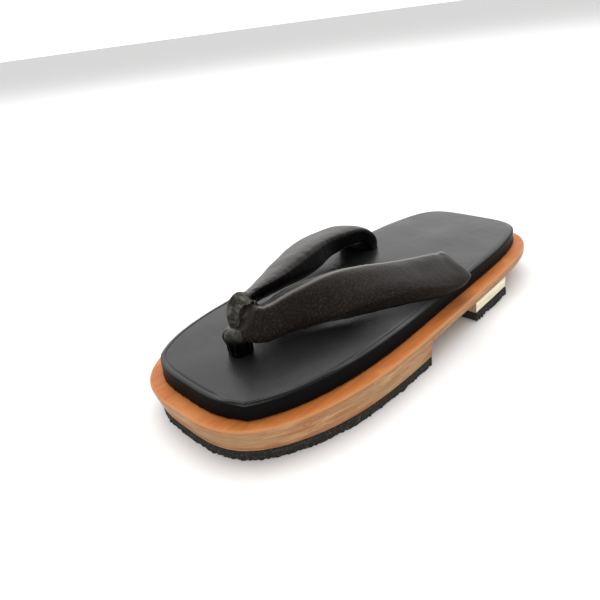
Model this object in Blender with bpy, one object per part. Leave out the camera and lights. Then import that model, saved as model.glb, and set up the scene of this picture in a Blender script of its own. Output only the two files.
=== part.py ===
"""A low geta sandal: a wooden base with a heel tooth, rubber soles, a padded footbed and a leather thong.

Metres, +X towards the toe, +Y across, +Z up. The origin is on the floor, in the middle of the outline.
"""

import math

import bpy
import numpy as np

# Outline of the wooden base, seen from above.
SHOE_LENGTH = 0.255
MID_HALF_WIDTH = 0.0554
TOE_SWELL = 0.0032
TOE_SQUARENESS = 3.2
HEEL_SQUARENESS = 3.8
SWELL_REACH = 0.6
OUTLINE_POINTS = 96
SMOOTH_ANGLE = 35.0

# Heights, from the floor up.
SOLE_THICKNESS = 0.0049
WOOD_HEIGHT = 0.0132
PLATE_THICKNESS = 0.0063
FOOTBED_THICKNESS = 0.0085
SEAT_GAP = 0.0003

# The wooden base and what stands under it.
BLOCK_LENGTH = 0.1130
TOE_UNDERCUT = 0.0026
UNDERCUT_REACH = 0.0650
SIDE_TAPER = 0.0004
LEDGE_EDGE_RADIUS = 0.0012
LEDGE_EDGE_SHARE = 0.3
PLATE_CHAMFER_IN = 0.0020
PLATE_CHAMFER_UP = 0.0018
TOOTH_LENGTH = 0.0402
TOOTH_FROM_HEEL = 0.0539
TOOTH_INSET = 0.0012
SOLE_INSET = 0.0004

# The footbed.
LEDGE_WIDTH = 0.0071
FOOTBED_TOP_TOE_SQUARENESS = 3.5
FOOTBED_SHOULDER = 0.0030
CREASE_INSET = 0.0046
CREASE_WIDTH = 0.0012
CREASE_DEPTH = 0.0004

# The footbed's shoulder, from the wall in. down and inward are shares of FOOTBED_SHOULDER, square of the
# way from the base's toe squareness to the footbed top's.
SHOULDER_COLUMNS = ("down", "inward", "square")
SHOULDER_ROWS = (
    (1.00, 0.10, 0.4),
    (0.40, 0.30, 0.7),
    (0.08, 0.70, 0.9),
)

# The thong: one band, folded round the toe post, with an arm to each side.
POST_FROM_TOE = 0.0395
STRAP_NOSE_BEHIND_POST = 0.0035
STRAP_RUN = 0.1200
STRAP_HOLE_FROM_EDGE = 0.0123
STRAP_RISE = 0.0180
STRAP_WIDTH = 0.0240
STRAP_THICKNESS = 0.0140
STRAP_SWAY = 0.0050
STRAP_STAGGER = 0.0030
STRAP_LEAN_DROP = 0.0035
STRAP_LEAN_ANGLE = 14.0
STRAP_TAIL_WIDTH = 0.0140
STRAP_TAIL_THICKNESS = 0.0056
STRAP_TAIL_HEADING = 80.0
STRAP_SQUARENESS = 2.5
STRAP_AROUND = 22
STRAP_STEPS = 5
TAIL_DEPTH = 0.0030
TAIL_ROOT = 0.0020

# One arm, from the fold to where it sinks into the footbed. run is a share of STRAP_RUN, spread of the
# hole's distance from the middle, rise of STRAP_RISE, width and thickness of the band's, tilt and heading
# are degrees, sway is a share of STRAP_SWAY, and lean of STRAP_LEAN_DROP and STRAP_LEAN_ANGLE.
ARM_COLUMNS = ("run", "spread", "rise", "width", "thickness", "tilt", "heading", "sway", "lean")
ARM_ROWS = (
    (0.000, 0.00, 0.90, 0.60, 0.36, 52.0, 0.0, 0.00, 0.00),
    (0.018, 0.13, 0.90, 0.62, 0.40, 52.0, 42.0, 0.05, 0.60),
    (0.070, 0.21, 0.91, 0.70, 0.44, 50.0, 78.0, 0.10, 1.00),
    (0.220, 0.32, 0.90, 0.88, 0.80, 42.0, 76.0, 0.10, 1.00),
    (0.440, 0.57, 0.81, 0.97, 1.08, 33.0, 67.0, 0.15, 0.80),
    (0.660, 0.92, 0.70, 0.98, 0.96, 28.0, 70.0, 0.40, 0.75),
    (0.900, 1.08, 0.52, 1.02, 0.82, 18.0, 78.0, 1.00, 0.80),
    (0.985, 1.09, 0.27, 0.98, 0.80, 14.0, 79.0, 0.60, 0.50),
    (1.000, 1.06, -0.20, 0.92, 0.78, 10.0, 80.0, 0.10, 0.00),
)

# The leather loop round the fold, and its post.
LOOP_THICKNESS = 0.0030
LOOP_WIDTH = 0.0115
LOOP_LENGTH = 0.0130
LOOP_HEIGHT = 0.0175
LOOP_LIFT = 0.0162
LOOP_AROUND = 14
POST_LENGTH = 0.0110
POST_WIDTH = 0.0105
POST_HEIGHT = 0.0100

# The loop's closed path seen from the side. along is a share of LOOP_LENGTH behind the post's front, up
# of LOOP_HEIGHT about its middle, width and thickness of the loop's.
LOOP_COLUMNS = ("along", "up", "width", "thickness")
LOOP_ROWS = (
    (0.10, -0.42, 0.95, 1.30),
    (-0.05, 0.00, 0.98, 1.00),
    (0.10, 0.34, 1.00, 1.00),
    (0.50, 0.50, 1.00, 1.00),
    (0.88, 0.40, 0.95, 1.00),
    (1.00, 0.08, 0.52, 1.00),
    (0.92, -0.28, 0.52, 1.10),
    (0.55, -0.50, 0.80, 1.20),
)
LOOP_STEPS = 4

# The post, from the bottom of its pocket up. up is a share of POST_HEIGHT above the footbed, length and
# width of the post's.
POST_COLUMNS = ("up", "length", "width")
POST_ROWS = (
    (0.10, 1.00, 1.00),
    (0.38, 1.04, 1.08),
    (0.62, 1.22, 1.26),
    (0.86, 1.10, 1.18),
    (1.00, 0.80, 0.86),
)

# Heights worked out from the sizes above.
BASE_BOTTOM = SOLE_THICKNESS + SEAT_GAP
LEDGE_HEIGHT = BASE_BOTTOM + WOOD_HEIGHT
PLATE_BOTTOM = LEDGE_HEIGHT - PLATE_THICKNESS
FOOTBED_BOTTOM = LEDGE_HEIGHT + SEAT_GAP
FOOTBED_TOP = FOOTBED_BOTTOM + FOOTBED_THICKNESS
TAIL_BOTTOM = LEDGE_HEIGHT - TAIL_DEPTH

# Places along the shoe worked out from the sizes above.
TOE_X = SHOE_LENGTH / 2
HEEL_X = -SHOE_LENGTH / 2
STEP_X = TOE_X - BLOCK_LENGTH
POST_X = TOE_X - POST_FROM_TOE
STRAP_NOSE_X = POST_X - STRAP_NOSE_BEHIND_POST
STRAP_HOLE_X = STRAP_NOSE_X - STRAP_RUN
TOOTH_BACK_X = HEEL_X + TOOTH_FROM_HEEL
TOOTH_FRONT_X = TOOTH_BACK_X + TOOTH_LENGTH


def clear_scene():
    """Remove every object, so that the model starts from nothing."""
    for thing in list(bpy.data.objects):
        bpy.data.objects.remove(thing, do_unlink=True)


def make_collection(name):
    """Make a collection of this name under the scene."""
    group = bpy.data.collections.new(name)
    bpy.context.scene.collection.children.link(group)
    return group


def make_material(name, colour, roughness):
    """Make a non-metal Principled material."""
    material = bpy.data.materials.new(name)
    material.use_nodes = True
    shader = material.node_tree.nodes["Principled BSDF"]
    shader.inputs["Base Color"].default_value = (*colour, 1.0)
    shader.inputs["Roughness"].default_value = roughness
    shader.inputs["Metallic"].default_value = 0.0
    return material


def rounded_power(value, squareness):
    """Raise a cosine or sine to the power that squares a round outline, keeping its sign."""
    return np.sign(value) * np.abs(value) ** (2.0 / squareness)


def half_width(along):
    """Half the width that the outline heads for at this distance along the shoe."""
    share = np.clip(along / (SWELL_REACH * TOE_X), -1.0, 1.0)
    return MID_HALF_WIDTH + TOE_SWELL * np.sin(share * math.pi / 2)


def outline(inset, toe_inset, toe_squareness):
    """The base's outline as points, set in by one distance all round and by one more at the toe."""
    angle = np.linspace(0.0, 2.0 * math.pi, OUTLINE_POINTS, endpoint=False)
    squareness = np.where(np.cos(angle) > 0.0, toe_squareness, HEEL_SQUARENESS)
    along = TOE_X * rounded_power(np.cos(angle), squareness)
    width = half_width(along)
    across = width * rounded_power(np.sin(angle), squareness)
    slope_x = np.sign(along) * np.abs(along / TOE_X) ** (squareness - 1.0) / TOE_X
    slope_y = np.sign(across) * np.abs(across / width) ** (squareness - 1.0) / width
    slope = np.hypot(slope_x, slope_y)
    toe_share = np.clip((along - (TOE_X - UNDERCUT_REACH)) / UNDERCUT_REACH, 0.0, 1.0)
    distance = inset + toe_inset * toe_share * toe_share * (3.0 - 2.0 * toe_share)
    return np.stack([along - distance * slope_x / slope, across - distance * slope_y / slope], axis=1)


def level(height, inset, toe_inset=0.0, toe_squareness=TOE_SQUARENESS):
    """One level ring of the outline at a height."""
    flat = outline(inset, toe_inset, toe_squareness)
    return np.column_stack([flat, np.full(len(flat), height)])


def loft(name, rings, group, closed=False):
    """Skin a stack of like rings into a closed solid, capped at both ends or joined end to end."""
    rings = np.asarray(rings)
    count, around = rings.shape[:2]
    last = count if closed else count - 1
    faces = []
    for ring in range(last):
        above = (ring + 1) % count
        for point in range(around):
            beside = (point + 1) % around
            faces.append((ring * around + point, ring * around + beside,
                          above * around + beside, above * around + point))
    if not closed:
        faces.append(tuple(reversed(range(around))))
        faces.append(tuple((count - 1) * around + point for point in range(around)))
    mesh = bpy.data.meshes.new(name)
    mesh.from_pydata(rings.reshape(-1, 3).tolist(), [], faces)
    mesh.shade_smooth()
    mesh.set_sharp_from_angle(angle=math.radians(SMOOTH_ANGLE))
    solid = bpy.data.objects.new(name, mesh)
    group.objects.link(solid)
    return solid


def box(name, low, high, group):
    """An upright box between two corners."""
    low = np.asarray(low)
    high = np.asarray(high)
    bpy.ops.mesh.primitive_cube_add(size=1.0, location=((low + high) / 2).tolist())
    solid = bpy.context.active_object
    solid.name = name
    solid.scale = (high - low).tolist()
    bpy.ops.object.transform_apply(location=False, rotation=False, scale=True)
    for old in list(solid.users_collection):
        old.objects.unlink(solid)
    group.objects.link(solid)
    return solid


def boolean(solid, other, operation):
    """Cut, join or crop a solid with another one, and hide the other as a cutter."""
    modifier = solid.modifiers.new(operation.title() + " " + other.name, "BOOLEAN")
    modifier.operation = operation
    modifier.object = other
    modifier.solver = "EXACT"
    other.hide_render = True
    other.display_type = "WIRE"


def finish(solid, material, parent):
    """Give a solid its material and hang it under the sandal's empty."""
    solid.data.materials.clear()
    solid.data.materials.append(material)
    solid.parent = parent


def make_base(parts, cutters):
    """The wooden base: a block under the forefoot, a step, and a thin plate behind it."""
    edge_step = LEDGE_EDGE_RADIUS * LEDGE_EDGE_SHARE
    rings = [
        level(BASE_BOTTOM, SIDE_TAPER, TOE_UNDERCUT),
        level(LEDGE_HEIGHT - LEDGE_EDGE_RADIUS, 0.0),
        level(LEDGE_HEIGHT - edge_step, edge_step),
        level(LEDGE_HEIGHT, LEDGE_EDGE_RADIUS),
    ]
    base = loft("base", rings, parts)

    # The room under the plate keeps clear of a plate with a chamfered lower edge.
    reach = SHOE_LENGTH
    chamfer_top = PLATE_BOTTOM + PLATE_CHAMFER_UP
    chamfer_slope = PLATE_CHAMFER_IN / PLATE_CHAMFER_UP
    room = box("room_under_plate", (-reach, -reach, -BASE_BOTTOM), (STEP_X, reach, chamfer_top), cutters)
    plate_rings = [
        level(PLATE_BOTTOM, PLATE_CHAMFER_IN),
        level(chamfer_top, 0.0),
        level(chamfer_top + PLATE_CHAMFER_UP, -PLATE_CHAMFER_UP * chamfer_slope),
    ]
    boolean(room, loft("kept_plate", plate_rings, cutters), "DIFFERENCE")
    boolean(base, room, "DIFFERENCE")
    return base


def make_tooth(parts, cutters):
    """The pale wooden tooth under the heel plate."""
    rings = [level(BASE_BOTTOM, TOOTH_INSET), level(PLATE_BOTTOM - SEAT_GAP, TOOTH_INSET)]
    tooth = loft("heel_tooth", rings, parts)
    reach = SHOE_LENGTH
    crop = box("tooth_crop", (TOOTH_BACK_X, -reach, -reach), (TOOTH_FRONT_X, reach, reach), cutters)
    boolean(tooth, crop, "INTERSECT")
    return tooth


def make_sole(name, back_x, front_x, toe_inset, parts, cutters):
    """A rubber sole that follows the outline between two places along the shoe."""
    rings = [level(0.0, SOLE_INSET, toe_inset), level(SOLE_THICKNESS, SOLE_INSET, toe_inset)]
    sole = loft(name, rings, parts)
    reach = SHOE_LENGTH
    crop = box(name + "_crop", (back_x, -reach, -reach), (front_x, reach, reach), cutters)
    boolean(sole, crop, "INTERSECT")
    return sole


def make_footbed(parts):
    """The padded footbed, with a rolled shoulder and a shallow crease round its top."""
    rings = [level(FOOTBED_BOTTOM, LEDGE_WIDTH)]
    for values in SHOULDER_ROWS:
        row = dict(zip(SHOULDER_COLUMNS, values))
        height = FOOTBED_TOP - row["down"] * FOOTBED_SHOULDER
        inset = LEDGE_WIDTH + row["inward"] * FOOTBED_SHOULDER
        squareness = TOE_SQUARENESS + row["square"] * (FOOTBED_TOP_TOE_SQUARENESS - TOE_SQUARENESS)
        rings.append(level(height, inset, 0.0, squareness))
    crease_in = LEDGE_WIDTH + CREASE_INSET
    rings.append(level(FOOTBED_TOP, crease_in - CREASE_WIDTH, 0.0, FOOTBED_TOP_TOE_SQUARENESS))
    rings.append(level(FOOTBED_TOP - CREASE_DEPTH, crease_in, 0.0, FOOTBED_TOP_TOE_SQUARENESS))
    rings.append(level(FOOTBED_TOP, crease_in + CREASE_WIDTH, 0.0, FOOTBED_TOP_TOE_SQUARENESS))
    return loft("footbed", rings, parts)


def between_rows(rows, steps, closed=False):
    """Read rows of numbers along a smooth curve that passes through each of them."""
    rows = np.asarray(rows, dtype=float)
    if closed:
        padded = np.vstack([rows[-1], rows, rows[0], rows[1]])
    else:
        padded = np.vstack([2 * rows[0] - rows[1], rows, 2 * rows[-1] - rows[-2]])
    found = []
    for start in range(len(padded) - 3):
        before, first, second, after = padded[start:start + 4]
        for step in range(steps):
            t = step / steps
            found.append(0.5 * (2 * first + (second - before) * t
                                + (2 * before - 5 * first + 4 * second - after) * t ** 2
                                + (3 * first - 3 * second + after - before) * t ** 3))
    if not closed:
        found.append(rows[-1])
    return np.array(found)


def strap_hole_spread():
    """How far from the middle each arm goes into the footbed."""
    return float(half_width(STRAP_HOLE_X)) - LEDGE_WIDTH - STRAP_HOLE_FROM_EDGE


def strap_rows():
    """The whole band from the far hole round the fold to the near hole, a row for each section.

    Each row is x, y, z, half width, half thickness, tilt and heading.
    """
    spread = strap_hole_spread()
    arms = []
    for side in (-1.0, 1.0):
        arm = []
        for values in ARM_ROWS:
            row = dict(zip(ARM_COLUMNS, values))
            arm.append((
                STRAP_NOSE_X - row["run"] * (STRAP_RUN - side * STRAP_STAGGER),
                side * row["spread"] * spread + row["sway"] * STRAP_SWAY,
                FOOTBED_TOP + row["rise"] * STRAP_RISE - side * row["lean"] * STRAP_LEAN_DROP,
                row["width"] * STRAP_WIDTH / 2,
                row["thickness"] * STRAP_THICKNESS / 2,
                row["tilt"] + side * row["lean"] * STRAP_LEAN_ANGLE,
                side * row["heading"],
            ))
        arms.append(arm)
    far, near = arms
    return list(reversed(far)) + near[1:]


def strap_section(centre, tangent, half_wide, half_thick, tilt, heading, grow):
    """One ring of the band, facing out at its tilt, with the heading of its outer side."""
    turn = math.radians(heading)
    lean = math.radians(tilt)
    outward = np.array([math.cos(turn), math.sin(turn), 0.0])
    outward = outward - tangent * outward.dot(tangent)
    outward /= np.linalg.norm(outward)
    upward = np.cross(outward, tangent)
    wide = math.cos(lean) * outward - math.sin(lean) * upward
    thick = math.sin(lean) * outward + math.cos(lean) * upward
    angle = np.linspace(2.0 * math.pi, 0.0, STRAP_AROUND, endpoint=False)
    across = (half_wide + grow) * rounded_power(np.cos(angle), STRAP_SQUARENESS)
    through = (half_thick + grow) * rounded_power(np.sin(angle), STRAP_SQUARENESS)
    return centre + across[:, None] * wide + through[:, None] * thick


def tail_rings(side, bottom, top, grow):
    """The straight end of an arm that goes down into the footbed, bottom ring first."""
    up = np.array([0.0, 0.0, 1.0])
    rings = []
    for height in (bottom, top):
        centre = np.array([STRAP_HOLE_X, side * strap_hole_spread(), height])
        rings.append(strap_section(centre, up, STRAP_TAIL_WIDTH / 2, STRAP_TAIL_THICKNESS / 2, 0.0,
                                   side * STRAP_TAIL_HEADING, grow))
    return rings


def strap_rings(grow):
    """Every ring of the band, from where one arm sinks into the footbed to where the other does."""
    rows = between_rows(strap_rows(), STRAP_STEPS)
    tangents = np.gradient(rows[:, :3], axis=0)
    tangents /= np.linalg.norm(tangents, axis=1)[:, None]
    rings = []
    for row, tangent in zip(rows, tangents):
        rings.append(strap_section(row[:3], tangent, *row[3:], grow))
    return rings


def make_straps(parts, cutters):
    """The thong, one padded band that lies flat on the footbed at its ends, with a tail down each hole."""
    straps = loft("straps", strap_rings(0.0), parts)
    reach = SHOE_LENGTH
    below = box("room_of_footbed", (-reach, -reach, -reach), (reach, reach, FOOTBED_TOP + SEAT_GAP), cutters)
    boolean(straps, below, "DIFFERENCE")
    for side, name in ((-1.0, "far_tail"), (1.0, "near_tail")):
        rings = tail_rings(side, TAIL_BOTTOM, FOOTBED_TOP + TAIL_ROOT, 0.0)
        boolean(straps, loft(name, rings, cutters), "UNION")
    return straps


def loop_rings():
    """The loop's rings, round its closed path in the shoe's middle plane."""
    rows = dict(zip(LOOP_COLUMNS, between_rows(LOOP_ROWS, LOOP_STEPS, closed=True).T))
    along = POST_X + LOOP_THICKNESS / 2 - rows["along"] * LOOP_LENGTH
    up = FOOTBED_TOP + LOOP_LIFT + rows["up"] * LOOP_HEIGHT
    path = np.column_stack([along, np.zeros(len(along)), up])
    tangents = np.roll(path, -1, axis=0) - np.roll(path, 1, axis=0)
    tangents /= np.linalg.norm(tangents, axis=1)[:, None]
    across = np.array([0.0, 1.0, 0.0])
    angle = np.linspace(0.0, 2.0 * math.pi, LOOP_AROUND, endpoint=False)
    rings = []
    for width, thickness, centre, tangent in zip(rows["width"], rows["thickness"], path, tangents):
        outward = np.cross(tangent, across)
        wide = width * LOOP_WIDTH / 2 * rounded_power(np.cos(angle), STRAP_SQUARENESS)
        thick = thickness * LOOP_THICKNESS / 2 * rounded_power(np.sin(angle), STRAP_SQUARENESS)
        rings.append(centre + wide[:, None] * across + thick[:, None] * outward)
    return rings


def post_ring(height, length, width, grow=0.0):
    """One level ring of the toe post."""
    angle = np.linspace(0.0, 2.0 * math.pi, STRAP_AROUND, endpoint=False)
    along = POST_X + (length / 2 + grow) * rounded_power(np.cos(angle), STRAP_SQUARENESS)
    across = (width / 2 + grow) * rounded_power(np.sin(angle), STRAP_SQUARENESS)
    return np.column_stack([along, across, np.full(len(angle), height)])


def make_toe_loop(parts, cutters):
    """The leather loop round the fold and the post that holds it down."""
    rings = [post_ring(TAIL_BOTTOM, POST_LENGTH, POST_WIDTH)]
    for values in between_rows(POST_ROWS, LOOP_STEPS):
        row = dict(zip(POST_COLUMNS, values))
        height = FOOTBED_TOP + row["up"] * POST_HEIGHT
        rings.append(post_ring(height, row["length"] * POST_LENGTH, row["width"] * POST_WIDTH))
    post = loft("toe_loop", rings, parts)
    boolean(post, loft("loop_band", loop_rings(), cutters, closed=True), "UNION")
    boolean(post, loft("room_for_fold", strap_rings(SEAT_GAP), cutters), "DIFFERENCE")
    return post


def cut_holes(footbed, base, cutters):
    """Cut the hole of the post and of each arm through the footbed and into the base."""
    bottom = TAIL_BOTTOM - SEAT_GAP
    top = FOOTBED_TOP + SEAT_GAP
    post_hole = [post_ring(bottom, POST_LENGTH, POST_WIDTH, SEAT_GAP),
                 post_ring(top, POST_LENGTH, POST_WIDTH, SEAT_GAP)]
    holes = [loft("post_hole", post_hole, cutters)]
    for side, name in ((-1.0, "far_hole"), (1.0, "near_hole")):
        holes.append(loft(name, tail_rings(side, bottom, top, SEAT_GAP), cutters))
    for hole in holes:
        boolean(footbed, hole, "DIFFERENCE")
        boolean(base, hole, "DIFFERENCE")


def main():
    """Build the sandal."""
    clear_scene()
    parts = make_collection("geta_sandal")
    cutters = make_collection("cutters")
    sandal = bpy.data.objects.new("geta_sandal", None)
    parts.objects.link(sandal)

    stained_wood = make_material("stained_wood", (0.46, 0.16, 0.05), 0.45)
    pale_wood = make_material("pale_wood", (0.80, 0.72, 0.58), 0.60)
    sponge_rubber = make_material("sponge_rubber", (0.020, 0.019, 0.017), 0.95)
    bed_leather = make_material("bed_leather", (0.012, 0.012, 0.012), 0.38)
    strap_leather = make_material("strap_leather", (0.020, 0.017, 0.015), 0.52)

    base = make_base(parts, cutters)
    tooth = make_tooth(parts, cutters)
    front_sole = make_sole("front_sole_rubber", STEP_X, SHOE_LENGTH, TOE_UNDERCUT, parts, cutters)
    heel_sole = make_sole("heel_sole_rubber", TOOTH_BACK_X, TOOTH_FRONT_X, 0.0, parts, cutters)
    footbed = make_footbed(parts)
    straps = make_straps(parts, cutters)
    toe_loop = make_toe_loop(parts, cutters)
    cut_holes(footbed, base, cutters)

    finish(base, stained_wood, sandal)
    finish(tooth, pale_wood, sandal)
    finish(front_sole, sponge_rubber, sandal)
    finish(heel_sole, sponge_rubber, sandal)
    finish(footbed, bed_leather, sandal)
    finish(straps, strap_leather, sandal)
    finish(toe_loop, strap_leather, sandal)


main()
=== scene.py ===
"""A low geta sandal dressed for a studio photograph.

Metres, +X towards the toe, +Y towards the camera's side, +Z up. Every piece is a numpy surface that stands
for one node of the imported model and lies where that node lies.
"""

import itertools
import logging
import math
from dataclasses import dataclass, field
from enum import Enum

import bmesh
import bpy
import numpy as np
from mathutils import Matrix, Vector

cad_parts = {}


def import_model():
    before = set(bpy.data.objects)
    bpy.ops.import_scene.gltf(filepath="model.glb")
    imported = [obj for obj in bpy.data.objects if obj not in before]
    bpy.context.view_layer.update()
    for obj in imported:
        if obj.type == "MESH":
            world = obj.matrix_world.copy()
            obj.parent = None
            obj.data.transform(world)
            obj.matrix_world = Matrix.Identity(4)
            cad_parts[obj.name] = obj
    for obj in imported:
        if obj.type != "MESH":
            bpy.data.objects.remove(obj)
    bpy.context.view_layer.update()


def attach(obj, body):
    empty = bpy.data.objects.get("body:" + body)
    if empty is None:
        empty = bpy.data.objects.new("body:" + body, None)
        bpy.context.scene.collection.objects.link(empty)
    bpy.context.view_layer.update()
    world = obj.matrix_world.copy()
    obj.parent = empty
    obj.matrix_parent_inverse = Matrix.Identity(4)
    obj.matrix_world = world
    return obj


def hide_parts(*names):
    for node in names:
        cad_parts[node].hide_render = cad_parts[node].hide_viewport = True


LOG = logging.getLogger("geta_sandal")
Colour = tuple[float, float, float, float]


class End(Enum):
    """How a slab ends at one of its two ends along the shoe."""

    TIP = "rounded to the tip of the outline"
    CUT = "cut square across the shoe"


def smooth_step(value: np.ndarray) -> np.ndarray:
    """Ease a share from 0 to 1 with level ends, by 3 t squared less 2 t cubed."""
    share = np.clip(value, 0.0, 1.0)
    return share * share * (3.0 - 2.0 * share)


def soft_bump(distance: np.ndarray, width: float | np.ndarray) -> np.ndarray:
    """A bell of height 1 at distance 0 that falls away over the width, by exp of minus the square."""
    return np.exp(-((distance / width) ** 2))


def rounded_power(value: np.ndarray, squareness: float | np.ndarray) -> np.ndarray:
    """Raise a cosine or sine to the power that squares a round outline, keeping its sign."""
    return np.sign(value) * np.abs(value) ** (2.0 / squareness)


def srgb(red: int, green: int, blue: int) -> Colour:
    """Turn a screen colour of 0 to 255 into the linear colour that a shader takes.

    Args:
        red: red part.
        green: green part.
        blue: blue part.

    Returns:
        Linear red, green and blue, with an alpha of 1.
    """
    parts = [part / 255.0 for part in (red, green, blue)]
    linear = [part / 12.92 if part <= 0.04045 else ((part + 0.055) / 1.055) ** 2.4 for part in parts]
    return (linear[0], linear[1], linear[2], 1.0)


class SmoothNoise:
    """Seeded value noise: random numbers on a cubic lattice, blended smoothly between its corners."""

    def __init__(self, seed: int, size: int = 32) -> None:
        """Fill the lattice.

        Args:
            seed: number that fixes the random values.
            size: lattice points along each side before it repeats.
        """
        self.size = size
        self.table = np.random.default_rng(seed).uniform(-1.0, 1.0, (size, size, size))

    def at(self, points: np.ndarray, wavelength: float | tuple[float, float, float]) -> np.ndarray:
        """Read the noise at points.

        Args:
            points: array whose last axis is x, y, z.
            wavelength: distance between lattice points, one for all axes or one each.

        Returns:
            Values from about -1 to 1, one for each point.
        """
        scaled = points / np.asarray(wavelength)
        low = np.floor(scaled).astype(int)
        part = smooth_step(scaled - low)
        total = np.zeros(points.shape[:-1])
        for corner in itertools.product((0, 1), repeat=3):
            index = (low + np.array(corner)) % self.size
            weight = np.prod(np.where(np.array(corner) == 1, part, 1.0 - part), axis=-1)
            total += weight * self.table[index[..., 0], index[..., 1], index[..., 2]]
        return total

    def swell(self, points: np.ndarray, wavelength: float, count: int = 20) -> np.ndarray:
        """Read a very smooth field at points: level waves that cross each other at random.

        Args:
            points: array whose last axis is x, y, z.
            wavelength: typical distance between crests.
            count: number of waves.

        Returns:
            Values of about -1 to 1, one for each point.
        """
        heading, length, start = (self.table[row, 0, :count] for row in range(3))
        total = np.zeros(points.shape[:-1])
        for turn, share, phase in zip(heading * math.pi, 1.0 + 0.4 * length, start * math.pi):
            path = points[..., 0] * math.cos(turn) + points[..., 1] * math.sin(turn)
            total += np.cos(2.0 * math.pi * path / (share * wavelength) + phase)
        return total / math.sqrt(2.0 * count)


@dataclass(frozen=True)
class Outline:
    """The sandal's outline seen from above, a squared oval that is wider under the toes."""

    length: float = 0.255
    mid_half_width: float = 0.0554
    toe_swell: float = 0.0032
    toe_squareness: float = 3.2
    heel_squareness: float = 4.0
    swell_reach: float = 0.6
    undercut_reach: float = 0.0650
    samples: int = 6000

    @property
    def toe_x(self) -> float:
        """How far the toe's tip lies in front of the middle."""
        return self.length / 2

    def half_width(self, along: np.ndarray | float) -> np.ndarray | float:
        """Half the width that the outline heads for at a distance along the shoe."""
        share = np.clip(along / (self.swell_reach * self.toe_x), -1.0, 1.0)
        return self.mid_half_width + self.toe_swell * np.sin(share * math.pi / 2)

    def side(self, inset: float, toe_inset: float = 0.0, toe_squareness: float | None = None) -> np.ndarray:
        """Trace the near side from the toe's tip to the heel's, set in along the outline's own normal.

        Formula: x is half the length times the rounded cosine of an angle, y is the half width there times
        its rounded sine, and both move inwards along the gradient of the squared oval.

        Args:
            inset: distance in from the outline, all round.
            toe_inset: further distance that grows towards the toe.
            toe_squareness: squareness of the toe's half, or None for the outline's own.

        Returns:
            Array of (samples, 2) with x and y.
        """
        angle = np.linspace(0.0, math.pi, self.samples)
        toe = self.toe_squareness if toe_squareness is None else toe_squareness
        squareness = np.where(np.cos(angle) > 0.0, toe, self.heel_squareness)
        along = self.toe_x * rounded_power(np.cos(angle), squareness)
        width = self.half_width(along)
        across = width * np.abs(np.sin(angle)) ** (2.0 / squareness)
        slope_x = np.sign(along) * np.abs(along / self.toe_x) ** (squareness - 1.0) / self.toe_x
        slope_y = np.abs(across / width) ** (squareness - 1.0) / width
        slope = np.hypot(slope_x, slope_y)
        toe_share = smooth_step((along - (self.toe_x - self.undercut_reach)) / self.undercut_reach)
        distance = inset + toe_inset * toe_share
        line = np.stack([along - distance * slope_x / slope, across - distance * slope_y / slope], axis=1)
        line[:, 1] = np.maximum(line[:, 1], 0.0)
        line[0, 1] = 0.0
        line[-1, 1] = 0.0
        return line

    def rail(
        self,
        inset: float,
        count: int,
        front_x: float | None = None,
        back_x: float | None = None,
        toe_inset: float = 0.0,
        toe_squareness: float | None = None,
    ) -> np.ndarray:
        """Space points evenly along a stretch of the near side.

        Args:
            inset: distance in from the outline.
            count: number of points.
            front_x: where the stretch starts, or None for the toe's tip.
            back_x: where it ends, or None for the heel's tip.
            toe_inset: further inset that grows towards the toe.
            toe_squareness: squareness of the toe's half, or None for the outline's own.

        Returns:
            Array of (count, 2) with x and y, from front to back.
        """
        line = self.side(inset, toe_inset, toe_squareness)
        steps = np.hypot(*np.diff(line, axis=0).T)
        run = np.concatenate([[0.0], np.cumsum(steps)])
        start = 0.0 if front_x is None else float(np.interp(-front_x, -line[:, 0], run))
        end = float(run[-1]) if back_x is None else float(np.interp(-back_x, -line[:, 0], run))
        places = np.linspace(start, end, count)
        return np.stack([np.interp(places, run, line[:, 0]), np.interp(places, run, line[:, 1])], axis=1)


@dataclass(frozen=True)
class Heights:
    """Heights from the floor up, shared by the pieces that lie on one another."""

    sole: float = 0.0049
    wood: float = 0.0132
    plate: float = 0.0063
    footbed: float = 0.0085
    gap: float = 0.0003

    @property
    def base_bottom(self) -> float:
        """Underside of the front block."""
        return self.sole + self.gap

    @property
    def ledge(self) -> float:
        """Top of the bare wooden ledge."""
        return self.base_bottom + self.wood

    @property
    def plate_bottom(self) -> float:
        """Underside of the heel plate."""
        return self.ledge - self.plate

    @property
    def footbed_bottom(self) -> float:
        """Underside of the footbed."""
        return self.ledge + self.gap

    @property
    def footbed_top(self) -> float:
        """Top of the footbed."""
        return self.footbed_bottom + self.footbed


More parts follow.
